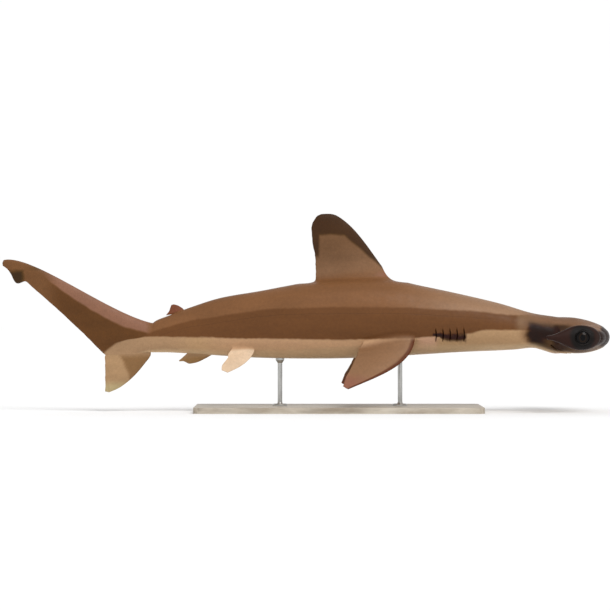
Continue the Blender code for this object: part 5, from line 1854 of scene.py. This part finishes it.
IRIS_STRETCH = (1.12, 0, 0.90)
EYE_STREAKS = (260, 40, 260)
EYE_STREAK_REACH = 0.0012
EYE_ROUGHNESS = (0.09, 0.15)
EYE_SHINE_PATCHES = 300
EYE_SHEEN = 0.12
EYE_SEGMENTS = 48
EYE_RINGS = 32
WOOD_STOPS = ((0.32, (150, 137, 120)), (0.70, (196, 187, 172)))
STEEL_STOPS = ((0.0, (150, 150, 148)), (1.0, (205, 205, 202)))


def eye_material():
    """Near black eye with a narrow brown iris, streaked outwards from the pupil."""
    look, tree = new_material("shark_eye")
    place = stretched(tree, IRIS_STRETCH)
    length = node(tree, "VectorMath", {0: place}, operation="LENGTH").outputs["Value"]
    streaks = noise_at(tree, EYE_STREAKS, 1.0, 3.0)
    radius = maths(tree, "ADD", length, maths(tree, "MULTIPLY", streaks, EYE_STREAK_REACH))
    stops = [(reach / EYE_REACH, colour) for reach, colour in EYE_STOPS]
    return finish_material(look, {
        "Base Color": shaded(tree, ranged(tree, radius, 0.0, 1.0, 0.0, EYE_REACH), stops),
        "Roughness": ranged(tree, noise_at(tree, ALL_WAYS, EYE_SHINE_PATCHES), *EYE_ROUGHNESS),
        "Specular IOR Level": EYE_SHEEN,
    })


def eyeball(side, word, look):
    """Smooth eyeball, its poles to the sides."""
    centre, radius = eye_ball()
    bm = bmesh.new()
    bmesh.ops.create_uvsphere(bm, u_segments=EYE_SEGMENTS, v_segments=EYE_RINGS, radius=radius)
    bmesh.ops.transform(bm, matrix=Matrix.Rotation(side * math.pi / 2, 4, "X"), verts=bm.verts[:])
    obj = mesh_object("eyeball_" + word, bm)
    obj.data.shade_smooth()
    obj.data.materials.append(look)
    obj.location = (centre.x, side * abs(centre.y), centre.z)
    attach(obj, "root")
    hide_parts("eye_" + word)


def base_material():
    """Pale stained wood with a satin finish, grain along the board."""
    look, tree = new_material("stand_board")
    grain = noise_at(tree, (1.2, 22, 4), 6.0, 6.0, 0.62)
    pores = noise_at(tree, (9, 420, 60), 1.0, 2.0, 0.5)
    wood = shaded(tree, grain, WOOD_STOPS)
    return finish_material(look, {
        "Base Color": scaled_colour(tree, wood, ranged(tree, pores, 0.80, 1.0, 0.34, 0.48)),
        "Roughness": ranged(tree, grain, 0.52, 0.38),
        "Specular IOR Level": 0.35,
        "Normal": bump(tree, pores, 0.35, 0.0004),
    })


def rod_material():
    """Brushed steel, with fine rings from turning."""
    look, tree = new_material("stand_steel")
    rings = noise_at(tree, (30, 30, 2600), 1.0, 2.0)
    smears = noise_at(tree, (60, 60, 25), 1.0, 3.0)
    return finish_material(look, {
        "Base Color": shaded(tree, smears, STEEL_STOPS),
        "Metallic": 1.0,
        "Roughness": ranged(tree, rings, 0.22, 0.42, *NOISE_SPAN),
        "Normal": bump(tree, rings, 0.25, 0.0002),
    })


def stand_finish():
    """Wood on the stand's base, steel on its rods."""
    board, steel = base_material(), rod_material()
    for name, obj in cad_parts.items():
        if name.startswith("stand_"):
            is_base = name == "stand_base"
            obj.data.materials.clear()
            obj.data.materials.append(board if is_base else steel)


# Camera level with the middle of the picture, far enough back for the picture's flat view.
CAMERA_DISTANCE = 9.4
CAMERA_LEVEL = 0.32
CAMERA_LENS = 185.0
SENSOR_WIDTH = 36.0
FLOOR_SIZE = 60.0
FLOOR_COLOUR = (0.93, 0.93, 0.93, 1.0)
WHITE = (1.0, 1.0, 1.0, 1.0)
HORIZON_LIGHT = 1.01
ZENITH_LIGHT = 0.65
SKY_CHANGE = (0.12, 0.85)
KEY_LIGHT = 1.55
KEY_SPREAD = 34
KEY_FROM = (0.32, -0.62, 0.75)


def camera():
    data = bpy.data.cameras.new("camera")
    data.lens = CAMERA_LENS
    data.sensor_width = SENSOR_WIDTH
    obj = in_scene("camera", data)
    obj.location = (0, -CAMERA_DISTANCE, CAMERA_LEVEL)
    obj.rotation_euler = (math.pi / 2, 0, 0)
    bpy.context.scene.camera = obj


def soft_key():
    """Broad soft light from above, the front and a little towards the head."""
    data = bpy.data.lights.new("key", "SUN")
    data.energy = KEY_LIGHT
    data.angle = math.radians(KEY_SPREAD)
    in_scene("key", data).rotation_euler = Vector(KEY_FROM).to_track_quat("Z", "Y").to_euler()


def backdrop():
    """White paper sweep: bright towards the horizon, softer overhead."""
    world = bpy.data.worlds.new("studio")
    bpy.context.scene.world = world
    world.use_nodes = True
    tree = world.node_tree
    way = node(tree, "TexCoord", {}).outputs["Generated"]
    height = node(tree, "SeparateXYZ", {"Vector": way}).outputs["Z"]
    sky = tree.nodes["Background"].inputs
    fill(tree, sky["Strength"], ranged(tree, height, HORIZON_LIGHT, ZENITH_LIGHT, *SKY_CHANGE))
    sky["Color"].default_value = WHITE


def floor():
    """Wide pale floor."""
    bm = bmesh.new()
    bmesh.ops.create_grid(bm, x_segments=1, y_segments=1, size=FLOOR_SIZE / 2)
    obj = mesh_object("floor", bm)
    look, _ = new_material("floor_paint")
    finish_material(look, {"Base Color": FLOOR_COLOUR, "Roughness": 0.9, "Specular IOR Level": 0.0})
    obj.data.materials.append(look)


shark_skin()
eye_look = eye_material()
for side, word in ((-1, "right"), (1, "left")):
    eyeball(side, word, eye_look)
stand_finish()
floor()
backdrop()
soft_key()
bpy.context.scene.view_settings.view_transform = "Standard"
camera()
